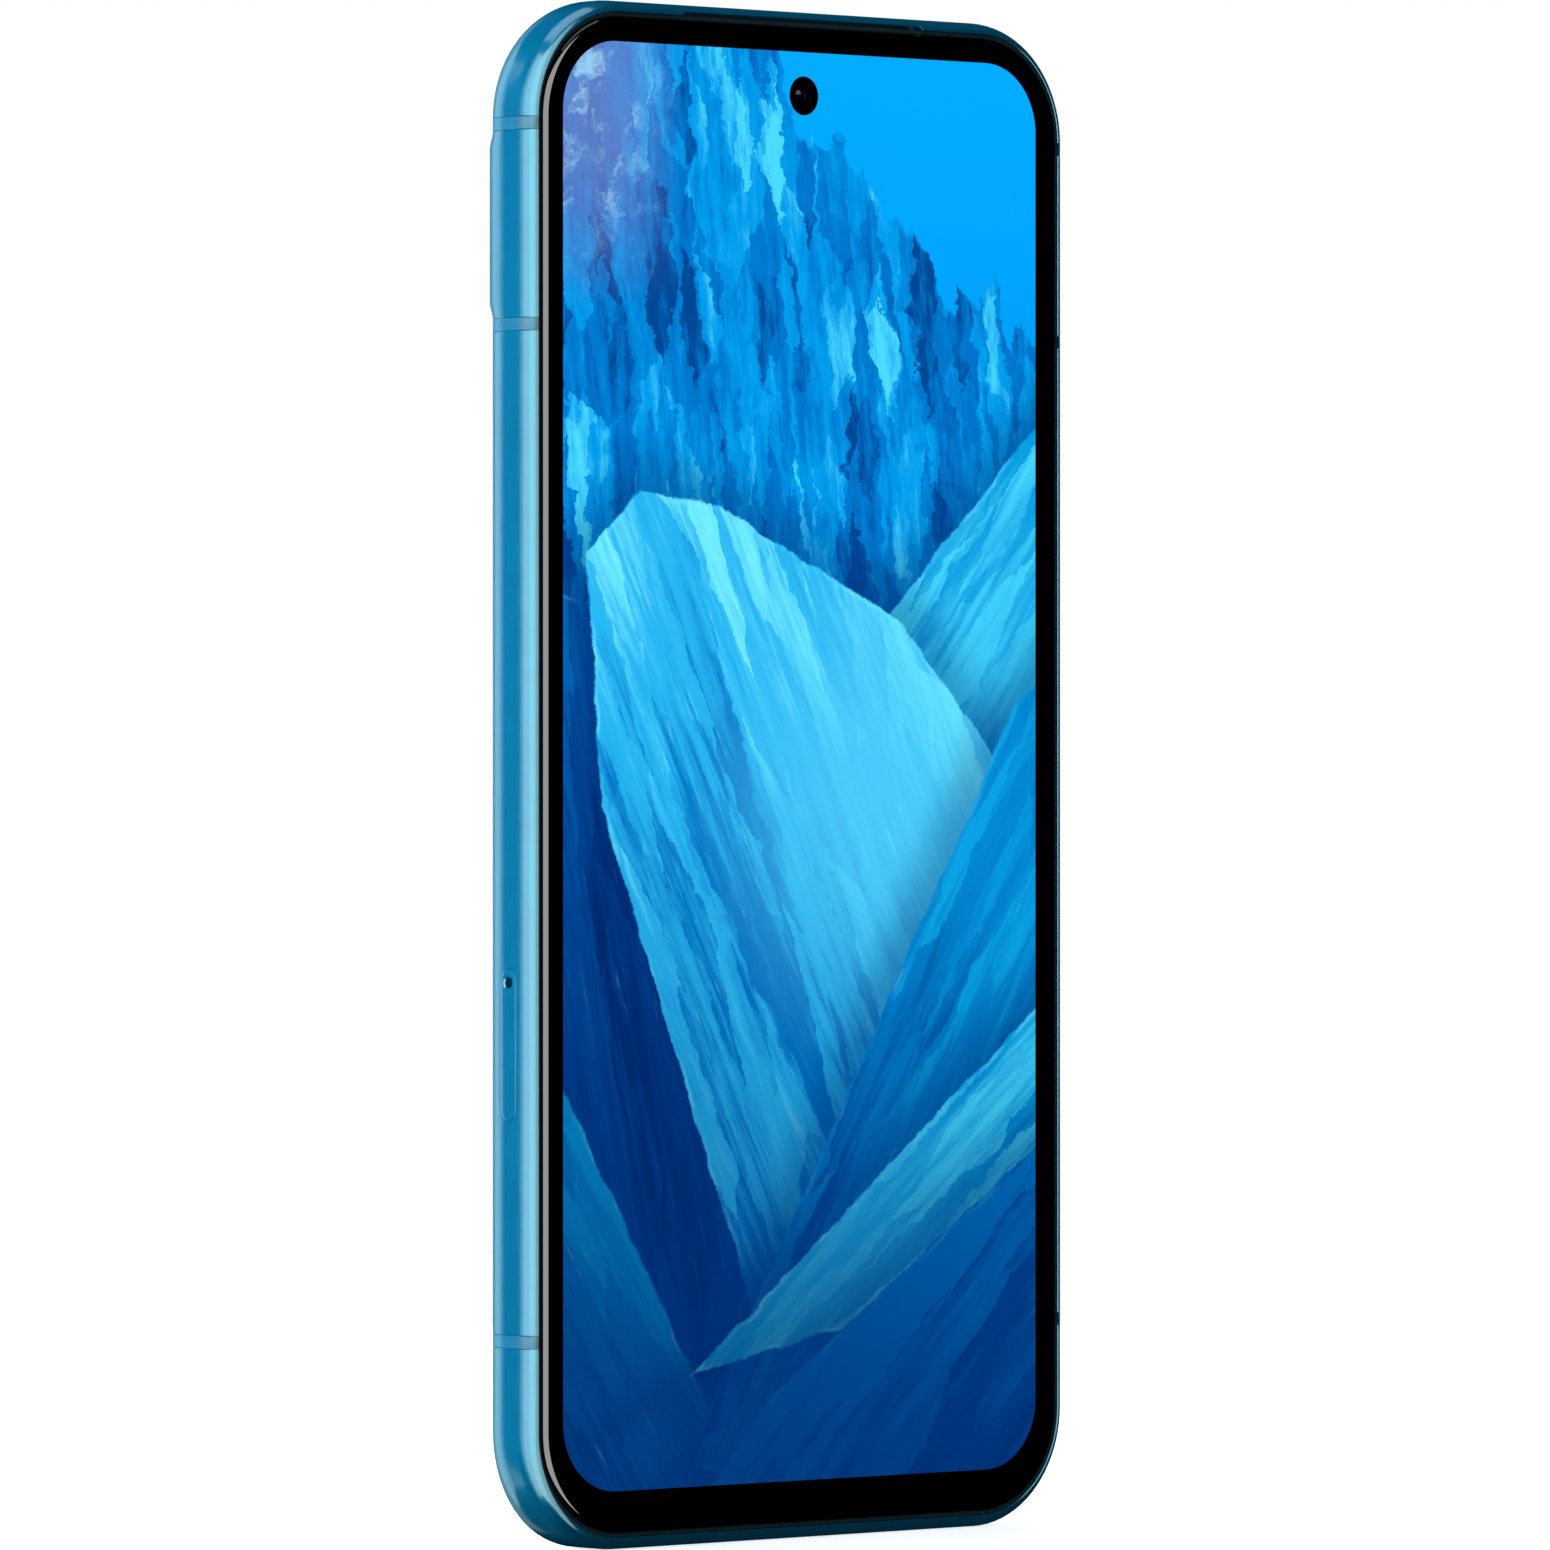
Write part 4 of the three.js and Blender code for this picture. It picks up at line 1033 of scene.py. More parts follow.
def build_panel():
    """The lit panel, with a raised face that is bonded to the glass inside the printed border."""
    low, high = cad("display_panel")
    centre = (0.0, (low.z + high.z) / 2)
    half = ((high.x - low.x) / 2, (high.z - low.z) / 2)
    front, back = depths("display_panel")
    bevel, steps = 0.04, 16
    levels = [(back, bevel), (back - bevel, 0.0), (front + bevel, 0.0), (front, bevel)]
    rings = []
    for depth, inset in levels:
        outline = rounded(half[0] - inset, half[1] - inset, PANEL_CORNER, steps)
        rings.append(along_y(centre, outline, depth))
    face = [size - FACE_GAP for size in (SCREEN_WIDTH / 2, SCREEN_HEIGHT / 2, SCREEN_CORNER)]
    for depth in (front - 0.001, GLASS_THICKNESS - PRINT_BOND):
        rings.append(along_y((0.0, SCREEN_Z), rounded(*face, steps), depth))
    obj = loft("display_layers", rings)
    cut(obj, lathe("pupil_hole", 0.0, PUPIL_Z, [(PUPIL_R, 0.0), (PUPIL_R, 3.0)]))
    return piece(obj, "display", ["display_panel"])


def build_seal():
    outer = LIP_INSET + 0.05
    profile = [(outer, 1.36), (outer, 0.60), (outer + 0.08, 0.55), (1.53, 0.55), (1.60, 0.60), (1.60, 0.73),
               (3.2, 0.73), (3.2, 1.37)]
    return piece(ring_along("display_gasket", profile), "black_rubber", ["display_seal"])


INK = screen_ink()
EDGE_LACQUER = edge_lacquer()
GLASS = build_glass()
GLASS_RIM = build_glass_edge()
build_border()
build_panel()
build_seal()

# ---------------------------------------------------------------- back cover and camera bar


def build_back():
    """The moulded back: a shallow tray whose edge carries on the frame's curve."""
    foot = SEAM_DEPTH + GAP
    places = stations([(z, "") for z in spread(CORNER_R, HEIGHT - CORNER_R, 6)], None, 20)
    arc = [foot + 0.05]
    start = math.asin((foot + 0.05 - FLAT[1]) / (DEPTH - FLAT[1]))
    for i in range(1, 15):
        arc.append(FLAT[1] + (DEPTH - FLAT[1]) * math.sin(start + (math.pi / 2 - start) * i / 14))

    def plain(place, depth):
        return skin_inset((place[0], CORNER_R, place[2], ""), min(depth, DEPTH))

    rings = [
        [on_outline(p, SHELF_INSET + 1.0, BACK_FLOOR) for p in places],
        [on_outline(p, SHELF_INSET, BACK_FLOOR) for p in places],
        [on_outline(p, SHELF_INSET, foot) for p in places],
        [on_outline(p, plain(p, foot) + 0.06, foot) for p in places],
    ]
    rings += [[on_outline(p, plain(p, depth), depth) for p in places] for depth in arc]
    rings.append([on_outline(p, DEPTH - FLAT[1] + 0.4, DEPTH) for p in places])
    obj = loft("back_shell", rings)
    opening = shrinking(rounded, LENS_OPENING_HALF, 3.0)
    through = [(BENEATH, 0.0), (BEHIND, 0.0)]
    cut(obj, stack("lens_opening", along_y, (LENS_OPENING_X, BAR_Z), opening, through))
    return piece(obj, "back_plastic", ["back_cover"])


LENS_OPENING_X = 8.4
LENS_OPENING_HALF = (22.1, 6.45)
BENEATH = 5.0  # a depth well in front of the camera bar
BEHIND = 12.0  # a depth well behind the camera bar
BAR_Z = (BAR_BOTTOM + BAR_TOP) / 2
WINDOW_X = middle("camera_window").x
WINDOW_HALF = (cad("camera_window")[1].x - WINDOW_X, cad("camera_window")[1].z - BAR_Z)
WINDOW_OUTLINE = shrinking(stadium, WINDOW_HALF, 24)
WINDOW_BOTTOM, WINDOW_TOP = depths("camera_window")
FLASH_X = middle("flash_diffuser").x
FLASH_R = cad("flash_diffuser")[1].z - BAR_Z
CLEAR_SHARE = 0.86  # how much of a lens's radius its round in the print leaves clear
BAR_STEPS = 26


def bar_section(z):
    """The bar's cross-section at a height: its back from left to right, then its underside."""
    foot = SEAM_DEPTH + GAP
    rise = BAR_SKIN + (BAR_RISE - BAR_SKIN) * bar_share(z)
    soften = BAR_SOFT if min(z - BAR_BOTTOM, BAR_TOP - z) < 1e-6 else 0.0

    def arc(r, margin, gap):
        points = []
        start = math.asin((foot - FLAT[1]) / r)
        for i in range(BAR_STEPS + 1):
            angle = start + (math.pi / 2 - start) * i / BAR_STEPS
            inset = r * (1 - math.cos(angle)) + margin - gap * math.cos(angle)
            points.append((inset, FLAT[1] + (r + gap) * math.sin(angle)))
        return points

    outer = arc(DEPTH - FLAT[1] + rise - soften, soften, 0.0)
    inner = arc(DEPTH - FLAT[1], 0.0, GAP)
    inner[0] = (inner[0][0], foot)

    def across(profile, side):
        return [(side * (WIDTH / 2 - inset), FRONT + depth, z) for inset, depth in profile]

    back = across(outer, -1) + across(reversed(outer), 1)
    under = across(inner, 1) + across(reversed(inner), -1)
    return back + under


def build_bar():
    ramp_end, ramp_start = BAR_BOTTOM + BAR_RAMP, BAR_TOP - BAR_RAMP
    heights = {BAR_BOTTOM + BAR_SOFT, BAR_TOP - BAR_SOFT, *spread(ramp_end, ramp_start, 2)}
    heights |= {*spread(BAR_BOTTOM, ramp_end, BAR_RAMP / 10), *spread(ramp_start, BAR_TOP, BAR_RAMP / 10)}
    heights = sorted(heights)
    sections = [bar_section(z) for z in heights]
    count = len(sections[0])
    points = [p for section in sections for p in section]
    faces = bands(sections)
    for first in (0, (len(sections) - 1) * count):
        for i in range(count // 2 - 1):
            faces.append((first + i, first + i + 1, first + count - 2 - i, first + count - 1 - i))
    obj = make("camera_bar_shell", points, faces)

    fit, flare = 0.05, 0.12
    top = DEPTH + BAR_RISE
    seat = [(WINDOW_BOTTOM - GAP, -fit), (top - 0.06, -fit), (top + FLARE_END, -flare), (BEHIND, -flare)]
    flash = [(FLASH_R + fit, BENEATH), (FLASH_R + fit, top - 0.06)]
    flash += [(FLASH_R + flare, top + FLARE_END), (FLASH_R + flare, BEHIND)]
    tools = [
        stack("window_seat", along_y, (WINDOW_X, BAR_Z), WINDOW_OUTLINE, seat),
        stack("window_through", along_y, (WINDOW_X, BAR_Z), WINDOW_OUTLINE, [(BENEATH, 0.9), (9.6, 0.9)]),
        lathe("flash_hole", FLASH_X, BAR_Z, flash),
    ]
    cut(obj, *tools)
    return piece(obj, "frame_metal", ["camera_bar"])


def build_window():
    """The glass over the rear cameras, and the print behind it with a clear round for each lens."""
    levels = [(WINDOW_BOTTOM, 0.06), (WINDOW_BOTTOM + 0.06, 0.0)]
    levels += crown(WINDOW_TOP, 0.2, 6, 0)
    levels.append((WINDOW_TOP, 0.5))
    glass = stack("rear_camera_glass", along_y, (WINDOW_X, BAR_Z), WINDOW_OUTLINE, levels)
    piece(glass, "window_glass", ["camera_window"])
    print_levels = [(WINDOW_BOTTOM - 0.025, 0.3), (WINDOW_BOTTOM - 0.005, 0.3)]
    ink = stack("rear_camera_print", along_y, (WINDOW_X, BAR_Z), WINDOW_OUTLINE, print_levels)
    for node in ("main_camera_lens", "wide_camera_lens"):
        low, high = cad(node)
        r = (high.x - low.x) / 2 * CLEAR_SHARE
        cut(ink, lathe("clear_round", (low.x + high.x) / 2, BAR_Z, [(r, BENEATH), (r, BEHIND)], 96))
    piece(ink, "black_plastic", material=INK)


build_back()
build_bar()
build_window()

# ---------------------------------------------------------------- cameras and flash


def build_barrel(node, body):
    """A lens barrel: a knurled drum with stepped baffles, and the domed glass in its mouth."""
    low, high = cad(node)
    x, r = (low.x + high.x) / 2, (high.x - low.x) / 2
    back, front = depths(node)
    mouth = r * 0.72
    profile = [(r - 0.3, back), (r - 0.05, back), (r - 0.05, back + 0.6)]
    for i in range(6):
        z = back + 0.7 + i * 0.5
        profile += [(r, z), (r, z + 0.3), (r - 0.08, z + 0.35), (r - 0.08, z + 0.45)]
    profile += [(r, front - 0.3), (r - 0.08, front - 0.08), (r - 0.3, front)]
    profile += [(mouth + 0.12, front), (mouth, front - 0.1)]
    for i in range(5):
        step = mouth - 0.16 * (i + 1)
        z = front - 0.28 - 0.22 * i
        profile += [(step + 0.14, z), (step, z), (step, z - 0.1)]
    profile += [(0.0, front - 1.3)]
    drum = lathe(f"{node.replace('_lens', '')}_barrel", x, BAR_Z, profile, 72)
    piece(drum, "black_plastic", [node], body, 25)
    glass_r = mouth - 0.86
    dome = [(glass_r, front - 1.28), (glass_r, front - 1.1)]
    for i in range(1, 9):
        angle = math.pi / 2 * (1 - i / 8)
        dome.append((glass_r * math.sin(angle), front - 1.1 + 0.42 * math.cos(angle)))
    glass = lathe(f"{node.replace('_lens', '')}_front_element", x, BAR_Z, dome, 72)
    piece(glass, "window_glass", (), body, 50, COATED)


def build_flash():
    """A clear disc, domed outside, with the concentric ridges of its lens on the inside."""
    back, front = depths("flash_diffuser")
    profile = []
    ridges = 7
    for i in range(ridges):
        r = (FLASH_R - 0.2) * (i + 1) / ridges
        profile += [((FLASH_R - 0.2) * (i + 0.15) / ridges, back), (r, back + 0.14)]
    profile += [(FLASH_R - 0.05, back), (FLASH_R, back + 0.05)]
    profile += [(FLASH_R, front - 0.15), (FLASH_R - 0.04, front - 0.08)]
    profile += dome(FLASH_R - 0.08, front, -0.07, 6)
    obj = lathe("flash_lens", FLASH_X, BAR_Z, profile, 72)
    piece(obj, "diffuser", ["flash_diffuser"], angle=20)


def build_front_camera():
    low, high = cad("front_camera_lens")
    front, back = depths("front_camera_lens")
    r = (high.x - low.x) / 2
    profile = [(r, back), (r, front + 0.34), (r - 0.06, front + 0.28)]
    profile += dome(r - 0.12, front, 0.26, 10)
    obj = lathe("selfie_lens", 0.0, PUPIL_Z, profile, 72)
    piece(obj, "window_glass", ["front_camera_lens"], angle=40, material=COATED)


COATED = coated_lens()
build_barrel("main_camera_lens", "focus_lens")
build_barrel("wide_camera_lens", ROOT)
build_flash()
build_front_camera()

# ---------------------------------------------------------------- keys


def build_key(node, body):
    """A key cap with a softened crown, the flange that keeps it in and its stems."""
    low, high = cad(node)
    z, face = (low.z + high.z) / 2, high.x
    inner = WIDTH / 2 - 1.9
    outline = key_outline(node, 0.0)
    levels = [(inner, 0.05), (inner + 0.05, 0.0), (face - 0.3, 0.0), *crown(face, 0.3, 7, 1), (face, 0.7)]
    cap = stack(f"{node}_cap", along_x, (SIM_Y, z), outline, levels)
    half = (high.z - low.z) / 2
    flange_top = inner + (0.5 if body == "power_key" else 0.27)
    levels = [(inner - 0.05, 0.05), (inner, 0.0), (flange_top - 0.05, 0.0), (flange_top, 0.05)]
    flange = stack("flange", along_x, (SIM_Y, z), shrinking(stadium, (half, KEY_FLANGE)), levels)
    stem = shrinking(circle, [0.6], 24)
    levels = [(low.x, 0.1), (low.x + 0.1, 0.0), (inner + 0.2, 0.0)]
    offsets = [0.0] if body == "power_key" else [-7.0, 7.0]
    stems = [stack("stem", along_x, (SIM_Y, z + offset), stem, levels) for offset in offsets]
    fuse(cap, flange, *stems)
    return piece(cap, "frame_metal", [node], body)


for key_node, key_body in KEYS.items():
    build_key(key_node, key_body)

# ---------------------------------------------------------------- SIM drawer

PIN_Z = middle("sim_eject_rod").z
PIN_R = 0.54
BOSS_HALF = (6.95, 0.75)
CARRIER_X = (-34.8, cad("sim_tray")[1].x)
CARRIER_Z = (43.3, 54.3)
CARRIER_HALF_DEPTH = 0.6
CARD_X = (-33.2, -20.9)
CARD_HALF = (6.15, 4.4)
LEDGE = 0.8  # how far the card's ledge stands in


def build_tray():
    """The drawer: a face that carries on the frame's side, a boss and a card carrier."""
    side = WIDTH / 2

    def face_point(inset, lift):
        return [
            (-side + surface_inset(SIM_Y - FRONT + across, FLAT) + lift, SIM_Y + across, SIM_Z + along)
            for along, across in stadium(SIM_HALF[0] - inset, SIM_HALF[1] - inset, 16)
        ]

    edge = [(0.0, 0.8), (0.0, 0.05), (0.02, 0.015), (0.06, 0.0), (0.4, 0.0), (0.8, 0.0), (1.1, 0.0)]
    head = loft("sim_drawer_tray", [face_point(inset, lift) for inset, lift in edge])
    levels = [(0.7 - side, 0.0), (CARRIER_X[0] + 0.05, 0.0), (CARRIER_X[0] + 0.1, 0.05)]
    boss = stack("boss", along_x, (SIM_Y, SIM_Z), shrinking(stadium, BOSS_HALF), levels)
    centre = (sum(CARRIER_X) / 2, sum(CARRIER_Z) / 2)
    half = ((CARRIER_X[1] - CARRIER_X[0]) / 2, (CARRIER_Z[1] - CARRIER_Z[0]) / 2)
    depth = SIM_Y - FRONT
    back, front = depth + CARRIER_HALF_DEPTH, depth - CARRIER_HALF_DEPTH
    bevel = 0.06
    levels = [(front, bevel), (front + bevel, 0.0), (back - bevel, 0.0), (back, bevel)]
    fuse(head, boss, stack("carrier", along_y, centre, shrinking(rounded, half, 0.8), levels))
    card_centre = (sum(CARD_X) / 2, centre[1])
    pocket = shrinking(rounded, CARD_HALF, 0.5)
    pin = shrinking(circle, [PIN_R], 48)
    cut(
        head,
        stack("card_seat", along_y, card_centre, pocket, [(depth - 0.15, 0.0), (6.0, 0.0)]),
        stack("card_window", along_y, card_centre, pocket, [(0.5, LEDGE), (6.0, LEDGE)]),
        slot_tool("pin_hole", along_x, (SIM_Y, PIN_Z), pin, -30.0, -side, 0.14),
    )
    return piece(head, "frame_metal", ["sim_tray"], "sim_drawer")


def build_tray_seal():
    """A rubber ring round the drawer's boss, with two raised beads."""
    low, high = cad("sim_tray_seal")
    x0, x1 = low.x, high.x
    half = (SIM_HALF[0] - 0.05, SIM_HALF[1] - 0.05)
    inner = (BOSS_HALF[0] + GAP, BOSS_HALF[1] + GAP)
    length = x1 - x0

    def ring(x, half_size):
        return along_x((SIM_Y, SIM_Z), stadium(*half_size, 16), x)

    outer_rings = []
    for i in range(17):
        dip = 0.05 * (1 - abs(math.sin(2 * math.pi * i / 16)))
        outer_rings.append(ring(x0 + length * i / 16, (half[0] - dip, half[1] - dip)))
    obj = ring_between("sim_drawer_gasket", outer_rings, [ring(x1, inner), ring(x0, inner)])
    return piece(obj, "black_rubber", ["sim_tray_seal"], "sim_drawer", 60)


build_tray()
build_tray_seal()

# ---------------------------------------------------------------- port and grilles


BLADE_HALF = (3.35, 0.35)
CONTACTS = 12
CONTACT_PITCH = 0.5


def build_port():
    """The socket's drawn steel shell, and its tongue with contacts on both faces."""
    low, high = cad("usb_c_shell")
    wall = 0.3

    def ring(z, inset):
        return along_z((0.0, PORT_Y), stadium(PORT_HALF[0] - inset, PORT_HALF[1] - inset, 20), z)

    lip = low.z
    outer = [ring(high.z, 0.0), ring(lip + 0.12, 0.0), ring(lip + 0.04, 0.03), ring(lip, 0.12)]
    inner = [ring(lip + 0.02, 0.2), ring(lip + 0.1, wall - 0.03), ring(lip + 0.3, wall), ring(high.z, wall)]
    shell = ring_between("usb_c_sleeve", outer, inner)
    piece(shell, "steel", ["usb_c_shell"], angle=40)

    tongue_low, tongue_high = cad("usb_c_tongue")
    base_z = tongue_high.z - 2.6
    base = shrinking(stadium, [size - wall - 0.05 for size in PORT_HALF], 16)
    levels = [(base_z, 0.1), (base_z + 0.1, 0.0), (tongue_high.z, 0.0)]
    plug = stack("usb_c_tongue_moulding", along_z, (0.0, PORT_Y), base, levels)
    levels = [(tongue_low.z, 0.12), (tongue_low.z + 0.12, 0.0), (base_z + 0.3, 0.0)]
    fuse(plug, stack("blade", along_z, (0.0, PORT_Y), shrinking(rounded, BLADE_HALF, 0.12), levels))
    piece(plug, "black_plastic", ["usb_c_tongue"])

    def finger(inset):
        return rounded(0.12 - inset, 0.03 - inset / 2, 0.02, 2)

    levels = [(tongue_low.z + 0.35, 0.02), (tongue_low.z + 0.45, 0.0), (base_z - 0.2, 0.0)]
    fingers = []
    for face in (-1, 1):
        for i in range(CONTACTS):
            place = ((i - (CONTACTS - 1) / 2) * CONTACT_PITCH, PORT_Y + face * (BLADE_HALF[1] + 0.01))
            fingers.append(stack("usb_c_contacts", along_z, place, finger, levels))
    merge(*fingers)
    piece(fingers[0], "gold_contact")


WIRE_SIDES = 6


def wire_points(start, direction, bend, length, pitch, phase, lift):
    """The middle line of one woven wire, which passes over and under those that cross it."""
    count = max(4, round(length / pitch * 4))
    points = []
    for i in range(count + 1):
        s = length * i / count
        wave = lift * math.cos(math.pi * s / pitch + phase)
        points.append(Vector(start) + Vector(direction) * s + Vector(bend) * wave)
    return points


def tube(points, radius, direction, bend):
    """A closed tube round a nearly straight line of points."""
    u = Vector(bend).normalized()
    v = Vector(direction).cross(u).normalized()
    rings = []
    for p in points:
        ring = []
        for i in range(WIRE_SIDES):
            a = 2 * math.pi * i / WIRE_SIDES
            ring.append(tuple(p + (u * math.cos(a) + v * math.sin(a)) * radius))
        rings.append(ring)
    return rings


def weave(name, centre, half_long, half_short, pitch, radius, short_axis, bend_axis):
    """A wire cloth in a slot with round ends, as one mesh of closed tubes."""
    points, faces = [], []
    long_axis = Vector((1.0, 0.0, 0.0))
    short_axis, bend_axis = Vector(short_axis), Vector(bend_axis)
    centre = Vector(centre)

    def add(rings):
        count, first = len(rings[0]), len(points)
        points.extend(p for ring in rings for p in ring)
        faces.extend(bands(rings, first))
        faces.append(tuple(range(first, first + count)))
        faces.append(tuple(range(len(points) - count, len(points))))

    def half_reach(offset, across, along):
        """How far a wire at an offset runs before it meets the slot's round end."""
        return along - across + math.sqrt(max(0.0, across**2 - offset**2))

    rows = int((half_short - radius) / pitch)
    for row in range(-rows, rows + 1):
        reach = half_reach(row * pitch, half_short, half_long) - radius
        start = centre + short_axis * (row * pitch) - long_axis * reach
        phase = math.pi * (row % 2) - math.pi * reach / pitch
        wire = wire_points(start, long_axis, bend_axis, 2 * reach, pitch, phase, radius)
        add(tube(wire, radius, long_axis, bend_axis))
    columns = int((half_long - radius) / pitch)
    for column in range(-columns, columns + 1):
        offset = abs(column * pitch) - (half_long - half_short)
        reach = half_short if offset <= 0 else math.sqrt(max(0.0, half_short**2 - offset**2))
        reach -= radius
        if reach < 2 * radius:
            continue
        start = centre + long_axis * (column * pitch) - short_axis * reach
        phase = math.pi * (column % 2 + 1) - math.pi * reach / pitch
        wire = wire_points(start, short_axis, bend_axis, 2 * reach, pitch, phase, radius)
        add(tube(wire, radius, short_axis, bend_axis))
    return make(name, points, faces)


def build_grilles():
    """Wire cloth in the two bottom slots and along the earpiece."""
    across, upright = (0.0, 1.0, 0.0), (0.0, 0.0, 1.0)
    for node in ("loudspeaker_mesh", "microphone_mesh"):
        name = f"{node.replace('_mesh', '')}_cloth"
        half = [size - GAP for size in GRILLE_HALF]
        obj = weave(name, middle(node), *half, 0.24, 0.05, across, upright)
        piece(obj, "grille_mesh", [node], angle=60)
    low, high = cad("earpiece_mesh")
    centre = (low + high) / 2
    obj = weave("earpiece_cloth", centre, high.x, (high.z - low.z) / 2, 0.11, 0.03, upright, across)
    piece(obj, "grille_mesh", ["earpiece_mesh"], angle=60)


build_port()
build_grilles()

# ---------------------------------------------------------------- the parts inside

INSIDE = {
    "plate_metal": ["mid_plate"],
    "black_rubber": ["back_cover_seal"],
    "flex_film": ["display_flex", "button_flex", "battery_flex", "main_flex"],
    "black_plastic": ["fingerprint_sensor", "front_camera_housing", "loudspeaker_module", "earpiece_speaker",
                      "board_cover_upper", "board_cover_lower"],
    "steel": ["main_camera_housing", "wide_camera_housing", "sim_reader", "sim_eject_rod", "sim_eject_lever",
              "haptic_motor_case", "haptic_motor_mass", "front_shield_can", "rear_shield_can",
              *[f"screw_{i + 1}" for i in range(5)]],
    "led": ["flash_led"],
    "gold_contact": ["bottom_microphone", "top_microphone"],
    "circuit_board": ["main_board", "sub_board"],
    "battery_wrap": ["battery"],
    "ferrite": ["coil_shield"],
    "copper": ["charging_coil"],
}

for finish_name, nodes in INSIDE.items():
    for node_name in nodes:
        coat(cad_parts[node_name], FINISHES[finish_name])

# ---------------------------------------------------------------- camera, floor and lights

CAMERA_AZIMUTH = -42.75
CAMERA_DISTANCE = 1100.8
CAMERA_LENS = 256.8
CAMERA_HEIGHT = SCREEN_Z - 0.28
AIM_LEFT = 3.14
AIM_DOWN = 0.59
FLOOR_R = 420.0
FILL = 0.12
DARK_ROOM = 0.006
LIGHT_DISTANCE = 1500.0
BODY_LIGHT = (0.76, 1.0, 0.80)
GLASS_LIGHT = (1.0, 0.985, 0.98)
FILL_LIGHT = (0.84, 0.985, 1.0)


def aim(obj, place, target):
    obj.location = Vector(place) * MM
    obj.rotation_euler = (Vector(target) - Vector(place)).to_track_quat("-Z", "Y").to_euler()


def build_camera():
    azimuth = math.radians(CAMERA_AZIMUTH)
    back = Vector((math.sin(azimuth), -math.cos(azimuth), 0.0))
    right = Vector((math.cos(azimuth), math.sin(azimuth), 0.0))
    subject = Vector((0.0, FRONT, CAMERA_HEIGHT))
    data = bpy.data.cameras.new("camera")
    data.lens = CAMERA_LENS
    data.sensor_width = 36.0
    data.clip_start, data.clip_end = 0.01, 50.0
    camera = link("camera", data)
    aim(camera, subject + back * CAMERA_DISTANCE, subject - right * AIM_LEFT - Vector((0, 0, AIM_DOWN)))
    bpy.context.scene.camera = camera


def softbox(name, bearing, distance, height, size, strength, target_z=HEIGHT / 2, color=FILL_LIGHT):
    """An area light that faces the phone from a bearing: 0 is its left side, 90 its front."""
    angle = math.radians(bearing)
    place = Vector((-math.cos(angle) * distance, -math.sin(angle) * distance, height))
    data = bpy.data.lights.new(name, "AREA")
    data.shape = "RECTANGLE"
    data.size, data.size_y = size[0] * MM, size[1] * MM
    data.energy = strength * math.pi * data.size * data.size_y
    data.color = color
    light = link(name, data)
    light.visible_camera = False
    aim(light, place, (0.0, 0.0, target_z))
    return light


def build_floor():
    """A round pale table top, just under the phone."""
    top = -0.05
    rings = [
        [(x, y, level) for x, y in circle(r, 128)]
        for r, level in ((FLOOR_R, -20.0), (FLOOR_R, top), (FLOOR_R * 0.6, top), (FLOOR_R * 0.2, top))
    ]
    floor = loft("floor", rings)
    floor.data.transform(Matrix.Scale(MM, 4))
    f = Finish("pale_floor")
    drift = f.noise(f.point, 0.01, 2.0)
    f.set("Base Color", f.ramp(drift, (0.3, [0.86, 0.86, 0.86, 1]), (0.7, [0.9, 0.9, 0.9, 1])))
    f.set("Roughness", f.step(f.noise(f.point, 0.05), 0.3, 0.7, 0.7, 0.8))
    f.shader.inputs["Emission Color"].default_value = [1, 1, 1, 1]
    f.shader.inputs["Emission Strength"].default_value = 0.75
    coat(floor, f.material)
    floor.visible_diffuse = False
    floor.visible_glossy = False
    floor.visible_transmission = False


def build_world():
    """White behind the phone, a soft fill on its diffuse surfaces, and a dark room in its gloss."""
    world = bpy.data.worlds.new("studio")
    world.use_nodes = True
    bpy.context.scene.world = world
    nodes, links = world.node_tree.nodes, world.node_tree.links
    path = nodes.new("ShaderNodeLightPath")
    room = nodes["Background"]
    room.inputs["Strength"].default_value = DARK_ROOM
    surface = room.outputs[0]
    for ray, strength in (("Is Diffuse Ray", FILL), ("Is Camera Ray", 1.0)):
        light = nodes.new("ShaderNodeBackground")
        light.inputs["Color"].default_value = [1, 1, 1, 1]
        light.inputs["Strength"].default_value = strength
        blend = nodes.new("ShaderNodeMixShader")
        links.new(path.outputs[ray], blend.inputs["Fac"])
        links.new(surface, blend.inputs[1])
        links.new(light.outputs[0], blend.inputs[2])
        surface = blend.outputs[0]
    links.new(surface, nodes["World Output"].inputs["Surface"])


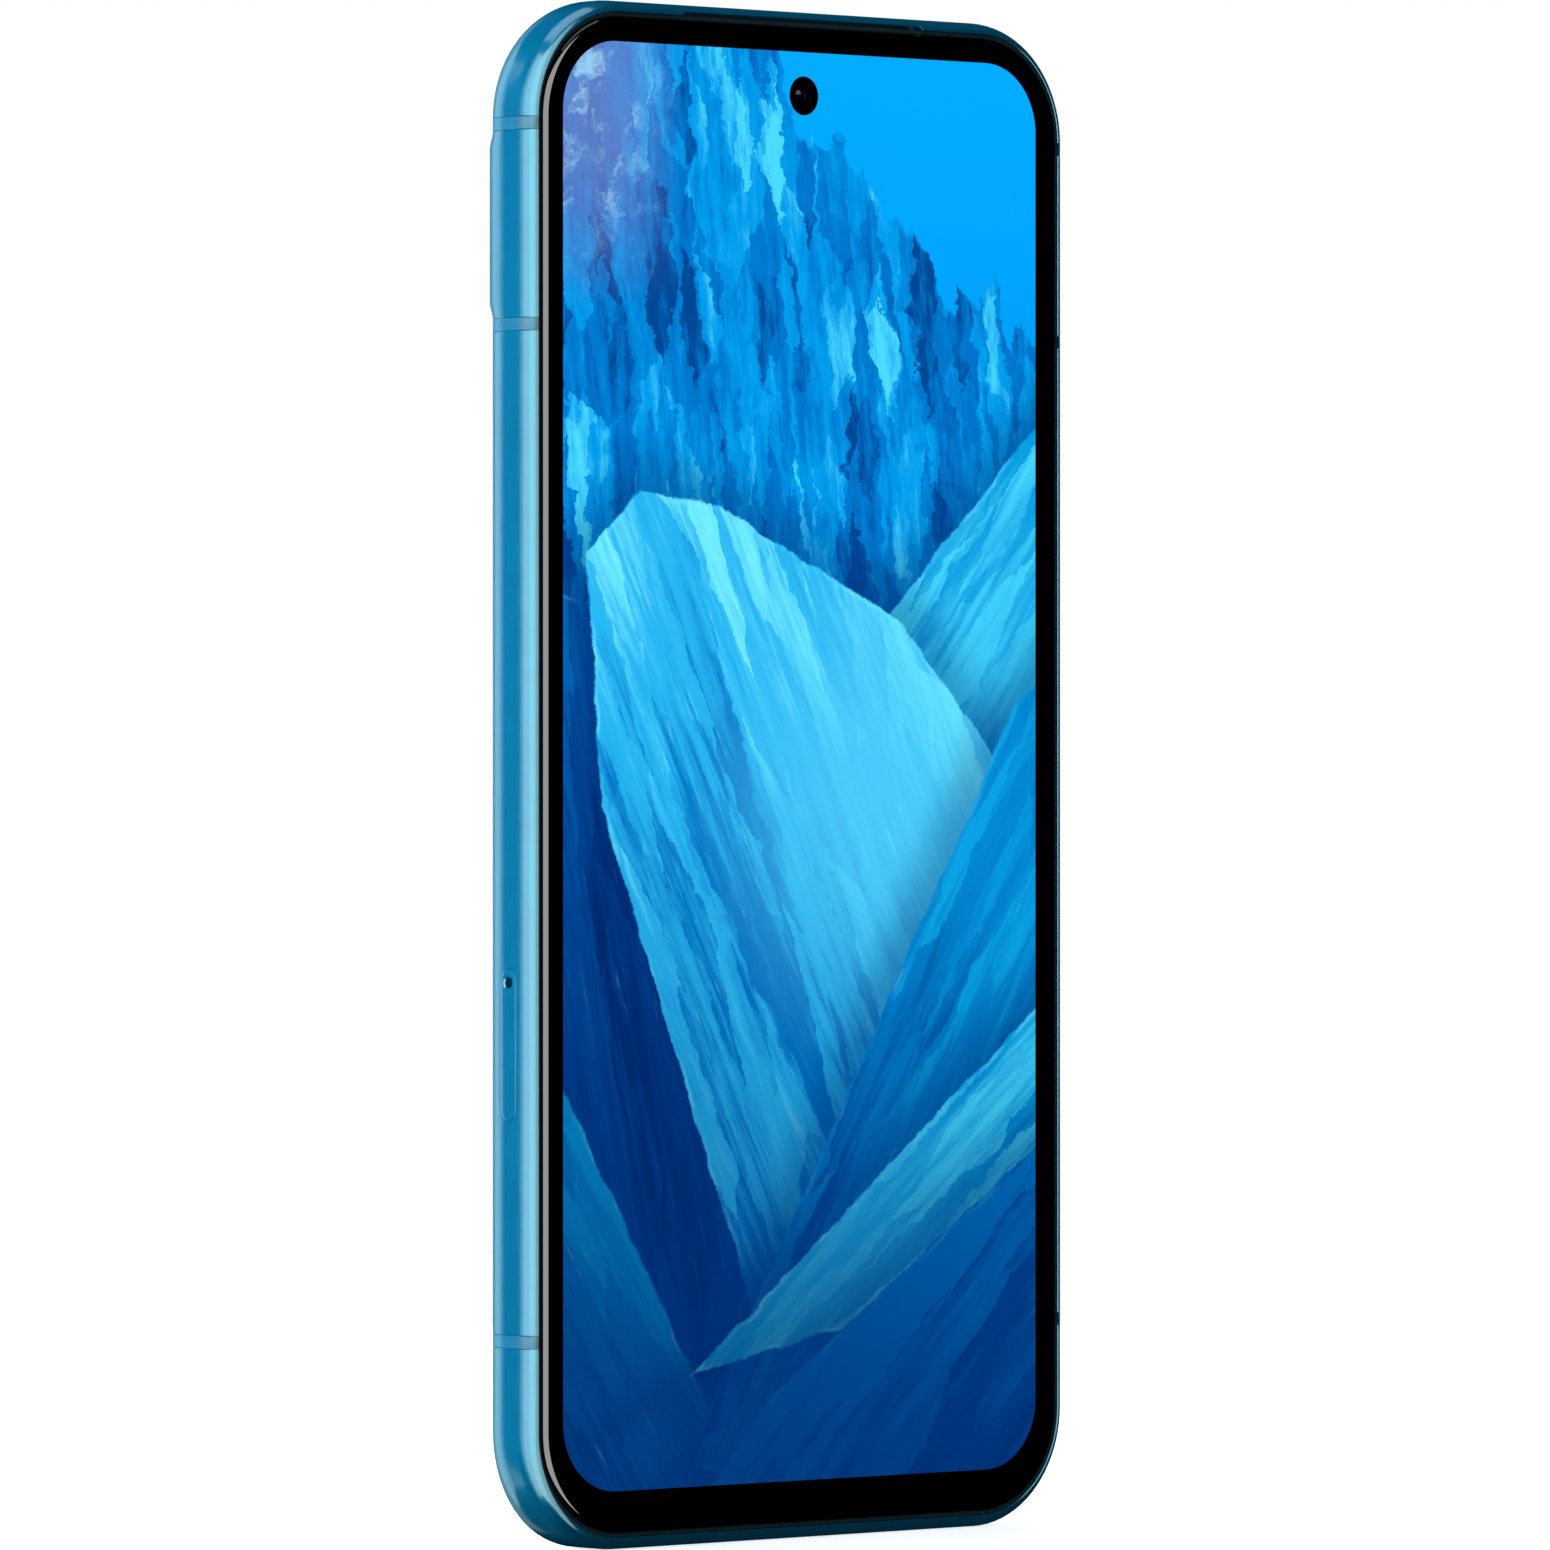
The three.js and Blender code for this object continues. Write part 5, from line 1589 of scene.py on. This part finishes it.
def card(name, span, strength, pieces, link_state, color):
    """A softbox over a span of bearings and elevations, which spares some pieces or lights them alone."""
    start, end, low, high = span
    width = 2 * LIGHT_DISTANCE * math.tan(math.radians(end - start) / 2)
    foot, head = (LIGHT_DISTANCE * math.tan(math.radians(angle)) for angle in (low, high))
    centre_z = HEIGHT / 2 + (foot + head) / 2
    size = (width, head - foot)
    light = softbox(name, (start + end) / 2, LIGHT_DISTANCE, centre_z, size, strength, centre_z, color)
    light.visible_diffuse = False
    receivers = bpy.data.collections.new(f"{name}_receivers")
    for obj in pieces:
        receivers.objects.link(obj)
    for linked in receivers.collection_objects:
        linked.light_linking.link_state = link_state
    light.light_linking.receiver_collection = receivers


# Each card's first and last bearing, its lowest and highest elevation, and its strength.
BODY_CARDS = {
    "front_softbox": (15, 66, -56, 56, 3.5),
    "front_wing": (-14, 15, -56, 56, 2.55),
    "front_feather": (-26, -14, -56, 56, 1.1),
    "lip_feather": (66, 110, -56, 56, 2.3),
    "back_feather": (-64, -55, -36, 36, 0.5),
    "back_softbox": (-94, -64, -36, 36, 1.15),
    "back_wing": (-115, -94, -36, 36, 0.35),
}
GLASS_CARDS = {
    "edge_strip": (-10, 114, -52, 52, 7.5),
    "pupil_softbox": (92, 126, 14, 34, 0.9),
}
# Each fill's bearing and strength.
FILLS = {"left_fill": (-20, 7.8), "back_fill": (-80, 3.4), "right_fill": (-125, 5.0)}


def build_lights():
    """Cards that show in the gloss, fills that light the colours, and a soft light from above."""
    for name, (*span, strength) in BODY_CARDS.items():
        card(name, span, strength, [GLASS, GLASS_RIM], "EXCLUDE", BODY_LIGHT)
    lit_alone = {"edge_strip": GLASS_RIM, "pupil_softbox": GLASS}
    for name, (*span, strength) in GLASS_CARDS.items():
        card(name, span, strength, [lit_alone[name]], "INCLUDE", GLASS_LIGHT)
    for name, (bearing, strength) in FILLS.items():
        fill = softbox(name, bearing, LIGHT_DISTANCE, 300, (900, 1200), strength)
        fill.visible_glossy = False
        fill.visible_transmission = False
    softbox("top_softbox", 0, 1, 1600, (1200, 1200), 1.4)


build_camera()
build_floor()
build_world()
build_lights()
bpy.context.scene.view_settings.view_transform = "Standard"
